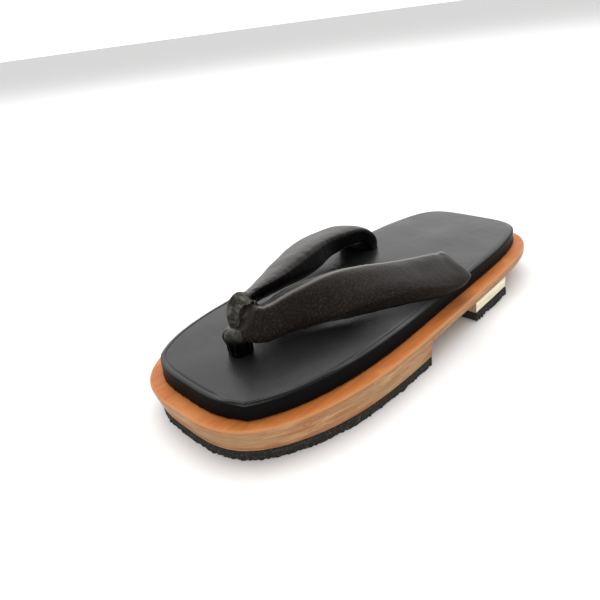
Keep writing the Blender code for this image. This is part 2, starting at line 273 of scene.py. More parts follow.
@dataclass(frozen=True)
class Skin:
    """Turns a grid of points into a closed mesh object."""

    merge_distance: float = 2.0e-6
    sharp_angle: float = 50.0

    def piece(
        self, name: str, grids: list[np.ndarray], along: bool = False,
        shares: dict[str, np.ndarray] | None = None,
    ) -> bpy.types.Object:
        """Skin one or more grids as one mesh.

        Formula: each square of four neighbouring points is a face. The second axis closes on itself, and the
        first too where asked. Points that coincide at the ends are merged, which closes the ends.

        Args:
            name: name of the object.
            grids: arrays of (rows, around, 3).
            along: whether the first axis closes too.
            shares: named values of each point, kept as attributes of the mesh.

        Returns:
            The new object, linked to the scene, with smooth faces that point outwards.
        """
        points: list[np.ndarray] = []
        faces: list[np.ndarray] = []
        base = 0
        for grid in grids:
            rows, columns = grid.shape[:2]
            index = base + np.arange(rows * columns).reshape(rows, columns)
            index = np.concatenate([index, index[:, :1]], axis=1)
            if along:
                index = np.concatenate([index, index[:1]], axis=0)
            quads = np.stack([index[:-1, :-1], index[:-1, 1:], index[1:, 1:], index[1:, :-1]], axis=-1)
            points.append(grid.reshape(-1, 3))
            faces.append(quads.reshape(-1, 4))
            base += rows * columns
        mesh = bpy.data.meshes.new(name)
        mesh.from_pydata(np.concatenate(points).tolist(), [], np.concatenate(faces).tolist())
        for title, values in (shares or {}).items():
            mesh.attributes.new(title, "FLOAT", "POINT").data.foreach_set("value", values.ravel())
        piece = bpy.data.objects.new(name, mesh)
        bpy.context.scene.collection.objects.link(piece)
        self.clean(piece)
        return piece

    def clean(self, piece: bpy.types.Object) -> None:
        """Merge doubles, close small holes at the ends, and turn the faces outwards.

        Args:
            piece: object whose mesh is cleaned.
        """
        sheet = bmesh.new()
        sheet.from_mesh(piece.data)
        bmesh.ops.remove_doubles(sheet, verts=sheet.verts, dist=self.merge_distance)
        bmesh.ops.dissolve_degenerate(sheet, edges=sheet.edges, dist=self.merge_distance)
        loose = [edge for edge in sheet.edges if edge.is_boundary]
        if loose:
            bmesh.ops.holes_fill(sheet, edges=loose, sides=0)
        bmesh.ops.recalc_face_normals(sheet, faces=sheet.faces)
        sheet.to_mesh(piece.data)
        sheet.free()
        piece.data.shade_smooth()
        piece.data.set_sharp_from_angle(angle=math.radians(self.sharp_angle))

    def trim(self, piece: bpy.types.Object, height: float) -> None:
        """Cut a piece off level and close the cut.

        Args:
            piece: object that keeps what lies above.
            height: height of the cut.
        """
        sheet = bmesh.new()
        sheet.from_mesh(piece.data)
        everything = [*sheet.verts, *sheet.edges, *sheet.faces]
        cut = {"plane_co": (0, 0, height), "plane_no": (0, 0, 1)}
        bmesh.ops.bisect_plane(sheet, geom=everything, clear_inner=True, **cut)
        rims = [edge for edge in sheet.edges if edge.is_boundary]
        bmesh.ops.holes_fill(sheet, edges=rims, sides=0)
        sheet.to_mesh(piece.data)
        sheet.free()

    def join(self, piece: bpy.types.Object, other: bpy.types.Object) -> None:
        """Take another closed shell into a piece's mesh, and drop the other object.

        Args:
            piece: object that is kept.
            other: object whose mesh is added.
        """
        sheet = bmesh.new()
        sheet.from_mesh(piece.data)
        sheet.from_mesh(other.data)
        sheet.to_mesh(piece.data)
        sheet.free()
        bpy.data.objects.remove(other, do_unlink=True)

    def combine(self, piece: bpy.types.Object, other: bpy.types.Object, operation: str) -> None:
        """Cut or join a piece with another one, and drop the other.

        Args:
            piece: object that is kept.
            other: object that cuts or joins it.
            operation: UNION or DIFFERENCE.
        """
        modifier = piece.modifiers.new("combine", "BOOLEAN")
        modifier.operation = operation
        modifier.object = other
        modifier.solver = "EXACT"
        graph = bpy.context.evaluated_depsgraph_get()
        result = bpy.data.meshes.new_from_object(piece.evaluated_get(graph))
        piece.modifiers.clear()
        old = piece.data
        piece.data = result
        result.name = piece.name
        bpy.data.meshes.remove(old)
        bpy.data.objects.remove(other, do_unlink=True)


def side_normals(rail: np.ndarray) -> np.ndarray:
    """The outward level direction at each point of a near-side rail.

    Args:
        rail: array of (count, 2) from front to back.

    Returns:
        Array of (count, 2) of unit vectors, square to the rail.
    """
    step = np.gradient(rail, axis=0)
    step /= np.maximum(np.linalg.norm(step, axis=1)[:, None], 1.0e-12)
    return np.stack([step[:, 1], -step[:, 0]], axis=1)


def slab_ring(near: np.ndarray, top_across: int, bottom_across: int) -> np.ndarray:
    """Close a stack of near-side rails into rings across the shoe.

    Formula: the far side mirrors the near one, and straight rows of points join their tops and bottoms.

    Args:
        near: array of (levels, rows, 3), from the bottom level up.
        top_across: points between the two top rails.
        bottom_across: points between the two bottom rails.

    Returns:
        Array of (rows, ring, 3).
    """
    near_side = np.swapaxes(near, 0, 1)
    far_side = near_side * np.array([1.0, -1.0, 1.0])
    share = np.linspace(0.0, 1.0, top_across + 2)[1:-1][None, :, None]
    top = near_side[:, -1:] * (1.0 - share) + far_side[:, -1:] * share
    share = np.linspace(0.0, 1.0, bottom_across + 2)[1:-1][None, :, None]
    bottom = far_side[:, :1] * (1.0 - share) + near_side[:, :1] * share
    return np.concatenate([near_side, top, far_side[:, ::-1], bottom], axis=1)


class NodeSketch:
    """Builds one material's node tree with short calls."""

    def __init__(self, name: str) -> None:
        """Start an empty tree with a Principled shader and Object coordinates.

        Args:
            name: name of the material.
        """
        self.material = bpy.data.materials.new(name)
        self.material.use_nodes = True
        self.tree = self.material.node_tree
        self.shader = self.tree.nodes["Principled BSDF"]
        self.place = self.add("ShaderNodeTexCoord").outputs["Object"]

    def add(self, kind: str, inputs: dict | None = None, **settings: object) -> bpy.types.Node:
        """Add a node.

        Args:
            kind: Blender's name of the node type.
            inputs: values or sockets for its inputs, by name or number.
            settings: values for its properties.

        Returns:
            The new node.
        """
        node = self.tree.nodes.new(kind)
        for name, value in settings.items():
            setattr(node, name, value)
        for key, value in (inputs or {}).items():
            if isinstance(value, bpy.types.NodeSocket):
                self.tree.links.new(value, node.inputs[key])
            else:
                node.inputs[key].default_value = value
        return node

    def stretched(self, scale: tuple[float, float, float], shift: float = 0.0) -> bpy.types.NodeSocket:
        """Object coordinates times a scale for each axis, moved along to vary the pattern."""
        inputs = {"Vector": self.place, "Scale": scale, "Location": (shift, shift, shift)}
        return self.add("ShaderNodeMapping", inputs).outputs["Vector"]

    def noise(
        self, place: bpy.types.NodeSocket, scale: float, detail: float, rough: float, twist: float = 0.0
    ) -> bpy.types.NodeSocket:
        """Fractal noise between 0 and 1 at these coordinates."""
        inputs = {"Vector": place, "Scale": scale, "Detail": detail, "Roughness": rough, "Distortion": twist}
        return self.add("ShaderNodeTexNoise", inputs).outputs["Fac"]

    def cells(self, scale: float) -> bpy.types.NodeSocket:
        """Distance within random cells, for pebbled leather and crumbly rubber."""
        return self.add("ShaderNodeTexVoronoi", {"Vector": self.place, "Scale": scale}).outputs["Distance"]

    def ranged(
        self, value: bpy.types.NodeSocket, low: float, high: float, to: tuple[float, float]
    ) -> bpy.types.NodeSocket:
        """Map a value smoothly from low..high to another range, and hold it there outside."""
        inputs = {"Value": value, "From Min": low, "From Max": high, "To Min": to[0], "To Max": to[1]}
        return self.add("ShaderNodeMapRange", inputs, interpolation_type="SMOOTHSTEP").outputs["Result"]

    def maths(self, operation: str, first: object, second: object = 0.0) -> bpy.types.NodeSocket:
        """One sum of two values."""
        return self.add("ShaderNodeMath", {0: first, 1: second}, operation=operation).outputs[0]

    def mixed(self, share: object, first: object, second: object) -> bpy.types.NodeSocket:
        """Blend two colours by a share.

        Args:
            share: value or socket between 0 and 1.
            first: colour at share 0.
            second: colour at share 1.

        Returns:
            The colour's socket.
        """
        node = self.add("ShaderNodeMix", data_type="RGBA")
        for socket, value in ((node.inputs[0], share), (node.inputs[6], first), (node.inputs[7], second)):
            if isinstance(value, bpy.types.NodeSocket):
                self.tree.links.new(value, socket)
            else:
                socket.default_value = value
        return node.outputs[2]

    def height(self) -> bpy.types.NodeSocket:
        """The height above the floor."""
        return self.add("ShaderNodeSeparateXYZ", {0: self.place}).outputs["Z"]

    def facing(self, axis: str) -> bpy.types.NodeSocket:
        """How far the surface faces along an axis, from -1 to 1."""
        normal = self.add("ShaderNodeNewGeometry").outputs["Normal"]
        return self.add("ShaderNodeSeparateXYZ", {0: normal}).outputs[axis]

    def distance(
        self, point: tuple[float, float, float], squeeze: tuple[float, float, float] = (1.0, 1.0, 1.0)
    ) -> bpy.types.NodeSocket:
        """The distance from a point.

        Args:
            point: place that it is counted from.
            squeeze: factor for each axis, below 1 where the distance counts less.

        Returns:
            The distance's socket.
        """
        way = self.add("ShaderNodeVectorMath", {0: self.place, 1: point}, operation="SUBTRACT")
        squeezed = self.add("ShaderNodeVectorMath", {0: way.outputs[0], 1: squeeze}, operation="MULTIPLY")
        return self.add("ShaderNodeVectorMath", {0: squeezed.outputs[0]}, operation="LENGTH").outputs["Value"]

    def bump(
        self, height: bpy.types.NodeSocket, depth: float, strength: float,
        under: bpy.types.NodeSocket | None = None,
    ) -> bpy.types.NodeSocket:
        """Fine relief from a height value, on top of another bump where given."""
        inputs = {"Height": height, "Distance": depth, "Strength": strength}
        if under is not None:
            inputs["Normal"] = under
        return self.add("ShaderNodeBump", inputs).outputs["Normal"]

    def finish(
        self, colour: object, rough: object, normal: bpy.types.NodeSocket, **fixed: float
    ) -> bpy.types.Material:
        """Wire the shader.

        Args:
            colour: colour or socket.
            rough: roughness or socket.
            normal: normal's socket.
            fixed: uniform values for the shader's own sockets, with underscores for spaces.

        Returns:
            The material.
        """
        for name, value in (("Base Color", colour), ("Roughness", rough), ("Normal", normal)):
            if isinstance(value, bpy.types.NodeSocket):
                self.tree.links.new(value, self.shader.inputs[name])
            else:
                self.shader.inputs[name].default_value = value
        for name, value in fixed.items():
            self.shader.inputs[name.replace("_", " ")].default_value = value
        return self.material


@dataclass(frozen=True)
class StainedWood:
    """Softwood stained orange-brown on its top, paler and streaked on its sides, with a light band on the
    edge between them that is partly wear and partly painted highlight.
    """

    ledge: float
    stain: Colour = srgb(189, 112, 54)
    stain_dark: Colour = srgb(160, 86, 40)
    stain_light: Colour = srgb(207, 138, 78)
    side: Colour = srgb(184, 138, 96)
    side_dark: Colour = srgb(150, 98, 62)
    side_light: Colour = srgb(208, 172, 130)
    side_green: Colour = srgb(170, 146, 104)
    # Colour of the edge band: partly wear, partly painted highlight.
    worn_edge_and_highlight: Colour = srgb(205, 146, 98)
    edge_reach: float = 0.0017
    knot: tuple[float, float, float] = (0.0958, 0.0499, 0.0142)
    knot_radius: float = 0.0017

    def build(self) -> bpy.types.Material:
        """Lay the growth rings in level layers on the sides and in lines along the shoe on the top."""
        sketch = NodeSketch("stained_wood")
        layers = sketch.noise(sketch.stretched((16.0, 16.0, 520.0)), 1.0, 7.0, 0.68, 0.9)
        fine_layers = sketch.noise(sketch.stretched((70.0, 70.0, 2600.0), 3.0), 1.0, 5.0, 0.65, 0.4)
        patches = sketch.noise(sketch.stretched((42.0, 42.0, 260.0), 7.0), 1.0, 4.0, 0.6, 0.5)
        tints = sketch.noise(sketch.stretched((30.0, 30.0, 160.0), 9.0), 1.0, 3.0, 0.5)
        pores = sketch.noise(sketch.stretched((260.0, 260.0, 2400.0), 2.0), 1.0, 3.0, 0.6)
        side = sketch.mixed(sketch.ranged(layers, 0.38, 0.60, (0.0, 1.0)), self.side_dark, self.side)
        side = sketch.mixed(sketch.ranged(patches, 0.50, 0.66, (0.0, 0.65)), side, self.side_light)
        side = sketch.mixed(sketch.ranged(tints, 0.46, 0.62, (0.0, 0.65)), side, self.side_green)
        side = sketch.mixed(sketch.ranged(fine_layers, 0.40, 0.58, (0.50, 0.0)), side, self.side_dark)
        side = sketch.mixed(sketch.ranged(pores, 0.32, 0.44, (0.60, 0.0)), side, self.side_dark)
        lines = sketch.noise(sketch.stretched((14.0, 420.0, 60.0), 1.0), 1.0, 5.0, 0.6, 0.4)
        clouds = sketch.noise(sketch.stretched((45.0, 60.0, 60.0), 5.0), 1.0, 4.0, 0.6)
        top = sketch.mixed(sketch.ranged(lines, 0.35, 0.65, (0.55, 1.0)), self.stain_dark, self.stain)
        top = sketch.mixed(sketch.ranged(clouds, 0.48, 0.72, (0.0, 0.55)), top, self.stain_light)
        height = sketch.height()
        reach = self.edge_reach
        on_top = sketch.ranged(height, self.ledge - 0.8 * reach, self.ledge - 0.1 * reach, (0.0, 1.0))
        colour = sketch.mixed(on_top, side, top)
        # A light band on the rounded edge below the ledge: partly wear, partly painted highlight.
        rising = sketch.ranged(height, self.ledge - 0.9 * reach, self.ledge - 0.5 * reach, (0.0, 1.0))
        falling = sketch.ranged(height, self.ledge - 0.35 * reach, self.ledge - 0.02 * reach, (1.0, 0.0))
        wear_and_highlight = sketch.maths("MULTIPLY", sketch.maths("MULTIPLY", rising, falling), 0.6)
        colour = sketch.mixed(wear_and_highlight, colour, self.worn_edge_and_highlight)
        away = sketch.distance(self.knot)
        grown = sketch.ranged(away, 0.6 * self.knot_radius, self.knot_radius, (0.0, 1.0))
        faded = sketch.ranged(away, self.knot_radius, 1.5 * self.knot_radius, (0.7, 0.0))
        colour = sketch.mixed(sketch.maths("MULTIPLY", grown, faded), colour, self.side_dark)
        relief = sketch.bump(fine_layers, 0.0005, 0.40)
        relief = sketch.bump(lines, 0.0003, 0.12, relief)
        rough = sketch.ranged(layers, 0.3, 0.7, (0.42, 0.58))
        return sketch.finish(colour, rough, relief, Specular_IOR_Level=0.22)


@dataclass(frozen=True)
class PaleWood:
    """Bare cream-coloured wood with faint straight grain."""

    wood: Colour = srgb(252, 243, 220)
    grain: Colour = srgb(228, 207, 168)
    # Colour of the end faces: end grain, darkened further as painted shade.
    end_grain_and_shade: Colour = srgb(170, 148, 108)

    def build(self) -> bpy.types.Material:
        """Run the grain along the shoe in thin level layers, and darken the faces that look along the shoe:
        cut end grain, darkened further as painted shade.
        """
        sketch = NodeSketch("pale_wood")
        layers = sketch.noise(sketch.stretched((12.0, 60.0, 700.0)), 1.0, 5.0, 0.6, 0.4)
        pores = sketch.noise(sketch.stretched((120.0, 2200.0, 2200.0)), 1.0, 3.0, 0.5)
        colour = sketch.mixed(sketch.ranged(layers, 0.42, 0.68, (0.0, 0.7)), self.wood, self.grain)
        colour = sketch.mixed(sketch.ranged(pores, 0.55, 0.75, (0.0, 0.4)), colour, self.grain)
        # The faces that look along the shoe: darker end grain, with painted shade on top of it.
        cut = sketch.ranged(sketch.maths("ABSOLUTE", sketch.facing("X")), 0.5, 0.8, (0.0, 0.85))
        colour = sketch.mixed(cut, colour, self.end_grain_and_shade)
        relief = sketch.bump(pores, 0.0002, 0.4)
        return sketch.finish(colour, 0.62, relief, Specular_IOR_Level=0.35)


@dataclass(frozen=True)
class SpongeRubber:
    """Black sponge rubber, cut through its bubbles."""

    body: Colour = srgb(44, 42, 39)
    dust: Colour = srgb(116, 111, 103)

    def build(self) -> bpy.types.Material:
        """Pit the cut faces with small cells and dust their rims."""
        sketch = NodeSketch("sponge_rubber")
        bubbles = sketch.cells(1300.0)
        crumbs = sketch.noise(sketch.place, 900.0, 5.0, 0.65)
        patches = sketch.noise(sketch.place, 180.0, 3.0, 0.5)
        colour = sketch.mixed(sketch.ranged(crumbs, 0.50, 0.72, (0.0, 0.6)), self.body, self.dust)
        colour = sketch.mixed(sketch.ranged(patches, 0.35, 0.60, (0.35, 0.0)), colour, self.body)
        relief = sketch.bump(bubbles, 0.0005, 0.7)
        relief = sketch.bump(crumbs, 0.0006, 0.8, relief)
        return sketch.finish(colour, 0.92, relief, Specular_IOR_Level=0.25)


@dataclass(frozen=True)
class BedLeather:
    """Smooth black leather with a low gloss on top, a patch of painted sheen at the near edge, and a dull
    wall painted darker as shade.
    """

    wall_top: float
    body: Colour = srgb(24, 24, 24)
    paler_tone: Colour = srgb(37, 37, 37)
    # Colour of the wall, painted darker than the top as shade.
    wall: Colour = srgb(15, 15, 15)
    # Colour of the painted sheen.
    painted_sheen: Colour = srgb(88, 88, 88)
    patch: tuple[float, float, float] = (0.0160, 0.0440, 0.0270)
    patch_reach: float = 0.0230
    patch_squeeze: tuple[float, float, float] = (0.55, 1.0, 1.0)

    def build(self) -> bpy.types.Material:
        """Pebble the leather very finely, paint a sheen onto the patch, and dull it below the shoulder and
        paint it darker there as shade.
        """
        sketch = NodeSketch("bed_leather")
        pebbles = sketch.cells(2100.0)
        pores = sketch.noise(sketch.place, 1500.0, 3.0, 0.6)
        clouds = sketch.noise(sketch.place, 40.0, 2.0, 0.5)
        colour = sketch.mixed(sketch.ranged(pores, 0.45, 0.70, (0.0, 0.6)), self.body, self.paler_tone)
        relief = sketch.bump(pebbles, 0.00012, 0.30)
        relief = sketch.bump(pores, 0.00010, 0.25, relief)
        # Painted sheen: a paler patch on the bed under the near arm.
        away = sketch.distance(self.patch, self.patch_squeeze)
        colour = sketch.mixed(sketch.ranged(away, 0.004, self.patch_reach, (0.75, 0.0)), colour, self.painted_sheen)
        rough = sketch.ranged(clouds, 0.30, 0.70, (0.27, 0.33))
        # Below the shoulder the colour is painted darker as shade, and the gloss drops.
        share = sketch.ranged(sketch.height(), self.wall_top + 0.0002, self.wall_top + 0.0014, (0.0, 1.0))
        colour = sketch.mixed(share, self.wall, colour)
        gloss = sketch.ranged(share, 0.0, 1.0, (0.02, 0.5))
        sketch.tree.links.new(gloss, sketch.shader.inputs["Specular IOR Level"])
        return sketch.finish(colour, rough, relief, IOR=1.45)


@dataclass(frozen=True)
class StrapLeather:
    """Soft matt black leather with a dusty brown-grey bloom, painted shade in dead black where it lies in
    shadow, and a painted highlight along one edge.
    """

    name: str = "strap_leather"
    body: Colour = srgb(24, 20, 18)
    bloom: Colour = srgb(60, 52, 47)
    # Colour of the painted shade.
    painted_shade: Colour = srgb(4, 4, 4)
    # Colour of the painted highlight along the near arm's upper edge.
    paler_tone: Colour = srgb(132, 130, 124)
    # The loop's paler tone above its painted shade.
    faded: Colour = srgb(134, 131, 124)
    fading: tuple[float, float] | None = None

    def build(self) -> bpy.types.Material:
        """Pebble the leather, streak it with fine lines, and dull the faces that look down.

        Formula: without fading, the mesh's painted shade share blackens the colour and its painted highlight
        share lightens it.
        With fading, painted shade in black low down gives way to a paler, streaked tone higher up, between
        two heights.

        Returns:
            The material.
        """
        sketch = NodeSketch(self.name)
        pebbles = sketch.cells(1700.0)
        pores = sketch.noise(sketch.place, 1100.0, 5.0, 0.65)
        creases = sketch.noise(sketch.stretched((420.0, 120.0, 420.0)), 1.0, 5.0, 0.6, 0.6)
        colour = sketch.mixed(sketch.ranged(pores, 0.45, 0.72, (0.0, 0.7)), self.body, self.bloom)
        relief = sketch.bump(pebbles, 0.00020, 0.45)
        relief = sketch.bump(creases, 0.0005, 0.30, relief)
        rough = sketch.ranged(pores, 0.30, 0.70, (0.38, 0.50))
        gloss = sketch.ranged(sketch.facing("Z"), -0.1, 0.9, (0.06, 0.46))
        gloss = sketch.maths("MULTIPLY", gloss, sketch.ranged(sketch.facing("Y"), 0.10, 0.45, (1.0, 0.55)))
        if self.fading is None:
            # Painted shade: the lining attribute blackens the underside and the inner edge and takes off most
            # of their gloss.
            painted_shade = sketch.add("ShaderNodeAttribute", attribute_name="painted_shade").outputs["Fac"]
            rim = sketch.add("ShaderNodeAttribute", attribute_name="rim").outputs["Fac"]
            # Painted highlight: the rim attribute lays a paler line along the near arm's upper edge.
            colour = sketch.mixed(sketch.maths("MULTIPLY", rim, 0.7), colour, self.paler_tone)
            colour = sketch.mixed(painted_shade, colour, self.painted_shade)
            gloss = sketch.maths("MULTIPLY", gloss, sketch.ranged(painted_shade, 0.0, 1.0, (1.0, 0.15)))
        else:
            # Painted shade: black low down on the loop, paling to a streaked tone higher up.
            share = sketch.ranged(sketch.height(), self.fading[0], self.fading[1], (0.0, 1.0))
            faded = sketch.mixed(sketch.ranged(creases, 0.40, 0.65, (0.25, 1.0)), colour, self.faded)
            colour = sketch.mixed(share, self.painted_shade, faded)
            gloss = sketch.maths("MULTIPLY", gloss, sketch.ranged(share, 0.0, 0.5, (0.1, 1.0)))
        sketch.tree.links.new(gloss, sketch.shader.inputs["Specular IOR Level"])
        return sketch.finish(colour, rough, relief, IOR=1.42, Sheen_Weight=0.10, Sheen_Roughness=0.30)


@dataclass(frozen=True)
class Piece:
    """What each piece is built from, and how it gets its material."""

    outline: Outline
    heights: Heights
    skin: Skin

    def build(self) -> bpy.types.Object:
        """Build the bare piece, which each kind of piece does in its own way."""
        raise NotImplementedError

    def dress(self, material: bpy.types.Material) -> bpy.types.Object:
        """Build the piece and give it its material.

        Args:
            material: material of the whole piece.

        Returns:
            The dressed object.
        """
        piece = self.build()
        piece.data.materials.append(material)
        return piece


@dataclass(frozen=True)
class WoodBase(Piece):
    """The wooden board: a block under the forefoot, an upright step, and a thin plate to the heel."""

    block_length: float = 0.1130
    toe_undercut: float = 0.0026
    side_taper: float = 0.0004
    edge_radius: float = 0.0017
    chamfer_in: float = 0.0020
    chamfer_up: float = 0.0018
    arris: float = 0.0003
    front_rows: int = 300
    back_rows: int = 300
    ledge_inset: float = 0.0090
    wave_height: float = 0.00012
    wave_length: float = 0.016

    @property
    def step_x(self) -> float:
        """Where the block ends in its upright step."""
        return self.outline.toe_x - self.block_length

    def levels(self) -> list[tuple[float, float, float, float, float]]:
        """Rows of the side's profile from the bottom up.

        Returns:
            For each level the block's inset, toe inset and height, then the plate's inset and height.
        """
        low = self.heights.base_bottom
        top = self.heights.ledge
        plate_low = self.heights.plate_bottom
        rim = top - self.edge_radius
        chamfer_top = plate_low + self.chamfer_up
        eased = self.chamfer_in - self.arris
        rows = [
            (self.side_taper + self.arris, self.toe_undercut, low, self.chamfer_in, plate_low),
            (self.side_taper, self.toe_undercut, low + self.arris, eased, plate_low + self.arris),
        ]

        def block(height: float) -> tuple[float, float, float]:
            """The block's inset and toe inset, which both fall away up to the rim, and its height."""
            left = 1.0 - (height - low) / (rim - low)
            return (self.side_taper * left, self.toe_undercut * left, height)

        for share in (0.25, 0.5, 0.75, 1.0):
            height = low + self.arris + share * (chamfer_top - low - self.arris)
            plate = plate_low + self.arris + share * (self.chamfer_up - self.arris)
            rows.append((*block(height), eased * (1.0 - share), plate))
        for share in (0.33, 0.66, 1.0):
            height = chamfer_top + share * (rim - chamfer_top)
            rows.append((*block(height), 0.0, height))
        for angle in np.radians([18.0, 36.0, 54.0, 72.0, 90.0]):
            inset = self.edge_radius * (1.0 - math.cos(angle))
            height = rim + self.edge_radius * math.sin(angle)
            rows.append((inset, 0.0, height, inset, height))
        for share in (0.2, 0.4, 0.6, 0.8, 1.0):
            inset = self.edge_radius + share * (self.ledge_inset - self.edge_radius)
            rows.append((inset, 0.0, top, inset, top))
        return rows

    def build(self) -> bpy.types.Object:
        """Loft the side rails, close them across, and let the wood wave a little.

        Returns:
            The board as one closed object.
        """
        near = []
        for block_in, toe_in, block_z, plate_in, plate_z in self.levels():
            front = self.outline.rail(block_in, self.front_rows, None, self.step_x, toe_in)
            back = self.outline.rail(plate_in, self.back_rows, self.step_x, None)
            level = np.concatenate([front, back])
            height = np.concatenate([np.full(self.front_rows, block_z), np.full(self.back_rows, plate_z)])
            near.append(np.column_stack([level, height]))
        rings = slab_ring(np.array(near), 6, 12)
        wave = SmoothNoise(11).at(rings * np.array([1.0, 1.0, 0.0]), self.wave_length)
        above = smooth_step((rings[..., 2] - self.heights.plate_bottom) / self.heights.plate)
        rings[..., 2] += self.wave_height * wave * above
        return self.skin.piece("base_wood", [rings])


@dataclass(frozen=True)
class HeelTooth(Piece):
    """The pale wooden tooth under the heel plate."""

    length: float = 0.0376
    from_heel: float = 0.0549
    inset: float = 0.0012
    arris: float = 0.0004
    rows: int = 60
    across: int = 20

    @property
    def back_x(self) -> float:
        """The tooth's rear face."""
        return -self.outline.toe_x + self.from_heel

    @property
    def front_x(self) -> float:
        """The tooth's front face."""
        return self.back_x + self.length

    def build(self) -> bpy.types.Object:
        """Loft level rails whose edges and ends are eased, and close the ends upwards.

        Returns:
            The tooth as one closed object.
        """
        low = self.heights.base_bottom
        top = self.heights.plate_bottom - self.heights.gap
        ease = ((self.arris, self.arris, low), (0.0, 0.0, low + self.arris), (0.0, 0.0, (low + top) / 2),
                (0.0, 0.0, top))
        near = []
        for inset, end_inset, height in ease:
            ends = (self.front_x - end_inset, self.back_x + end_inset)
            rail = self.outline.rail(self.inset + inset, self.rows, *ends)
            near.append(np.column_stack([rail, np.full(self.rows, height)]))
        rings = slab_ring(np.array(near), self.across, self.across)
        return self.skin.piece("heel_tooth_wood", [closed_ends(rings, self.across, len(ease))])


def closed_ends(rings: np.ndarray, across: int, levels: int, steps: int = 1) -> np.ndarray:
    """Close both cut ends of a slab by folding each end ring up onto its own top line.

    Formula: every point of the end ring slides to the point of the top line above it, in a few even steps.

    Args:
        rings: array of (rows, ring, 3) from slab_ring.
        across: points between the two top rails, and between the two bottom ones.
        levels: levels of each side.
        steps: rows between the end ring and the folded one.

    Returns:
        The rings with the closing rows at both ends.
    """

    def folded(ring: np.ndarray) -> np.ndarray:
        """The end ring laid onto its top line."""
        near_top = ring[levels - 1]
        far_top = ring[levels + across]
        share = np.linspace(0.0, 1.0, across + 2)[1:-1][:, None]
        flat = ring.copy()
        flat[:levels] = near_top
        flat[levels + across:2 * levels + across] = far_top
        flat[2 * levels + across:] = far_top * (1.0 - share) + near_top * share
        return flat

    first = folded(rings[0])
    last = folded(rings[-1])
    shares = np.linspace(0.0, 1.0, steps + 1)[1:, None, None]
    before = rings[0] * (1.0 - shares[::-1]) + first * shares[::-1]
    after = rings[-1] * (1.0 - shares) + last * shares
    return np.concatenate([before, rings, after])


@dataclass(frozen=True)
class RubberSole(Piece):
    """One of the two crumbly rubber soles, with a ragged lower edge."""

    name: str
    front: End
    back_x: float
    front_x: float
    toe_inset: float
    seed: int
    inset: float = 0.0004
    rows: int = 900
    crumb: float = 0.00055
    nick: float = 0.00115
    fine_wave: float = 0.0011
    broad_wave: float = 0.0034
    nick_wave: float = 0.0017
    foot_inset: float = 0.0004
    across: int = 30
    end_steps: int = 3

    def build(self) -> bpy.types.Object:
        """Loft level rails and push their points out and in by two sizes of noise.

        Formula: side points move square to the outline by noise of 1 mm and 3 mm waves, more towards the
        bottom, and the bottom edge also moves up by the part of the noise above zero.

        Returns:
            The sole as one closed object.
        """
        shares = np.array([0.0, 0.04, 0.12, 0.25, 0.4, 0.55, 0.7, 0.85, 0.95, 1.0])
        front_x = None if self.front is End.TIP else self.front_x
        noise = SmoothNoise(self.seed)
        near = []
        for share in shares:
            rail = self.outline.rail(self.inset, self.rows, front_x, self.back_x, self.toe_inset)
            points = np.column_stack([rail, np.full(self.rows, share * self.heights.sole)])
            fine = noise.at(points, self.fine_wave)
            broad = noise.at(points + 1.0, self.broad_wave)
            low = 1.0 - 0.7 * smooth_step(np.full(self.rows, share / 0.5))
            push = self.crumb * low * (fine + 0.6 * broad) - 0.3 * self.crumb
            if share == 0.0:
                push -= self.foot_inset
            if share == 1.0:
                push = np.minimum(push, 0.0)
            points[:, :2] += side_normals(rail) * push[:, None]
            lift = self.nick * np.maximum(noise.at(points + 2.0, self.nick_wave), 0.0) ** 2
            points[:, 2] += lift * (1.0 - smooth_step(np.full(self.rows, share / 0.3)))
            points[:, 1] = np.maximum(points[:, 1], 0.0)
            near.append(points)
        near_rails = np.array(near)
        if self.front is End.TIP:
            near_rails[:, 0, 1] = 0.0
        rings = slab_ring(near_rails, self.across, self.across)
        closed = closed_ends(rings, self.across, len(shares), self.end_steps)
        if self.front is End.TIP:
            closed = closed[self.end_steps:]
        return self.skin.piece(self.name, [closed])


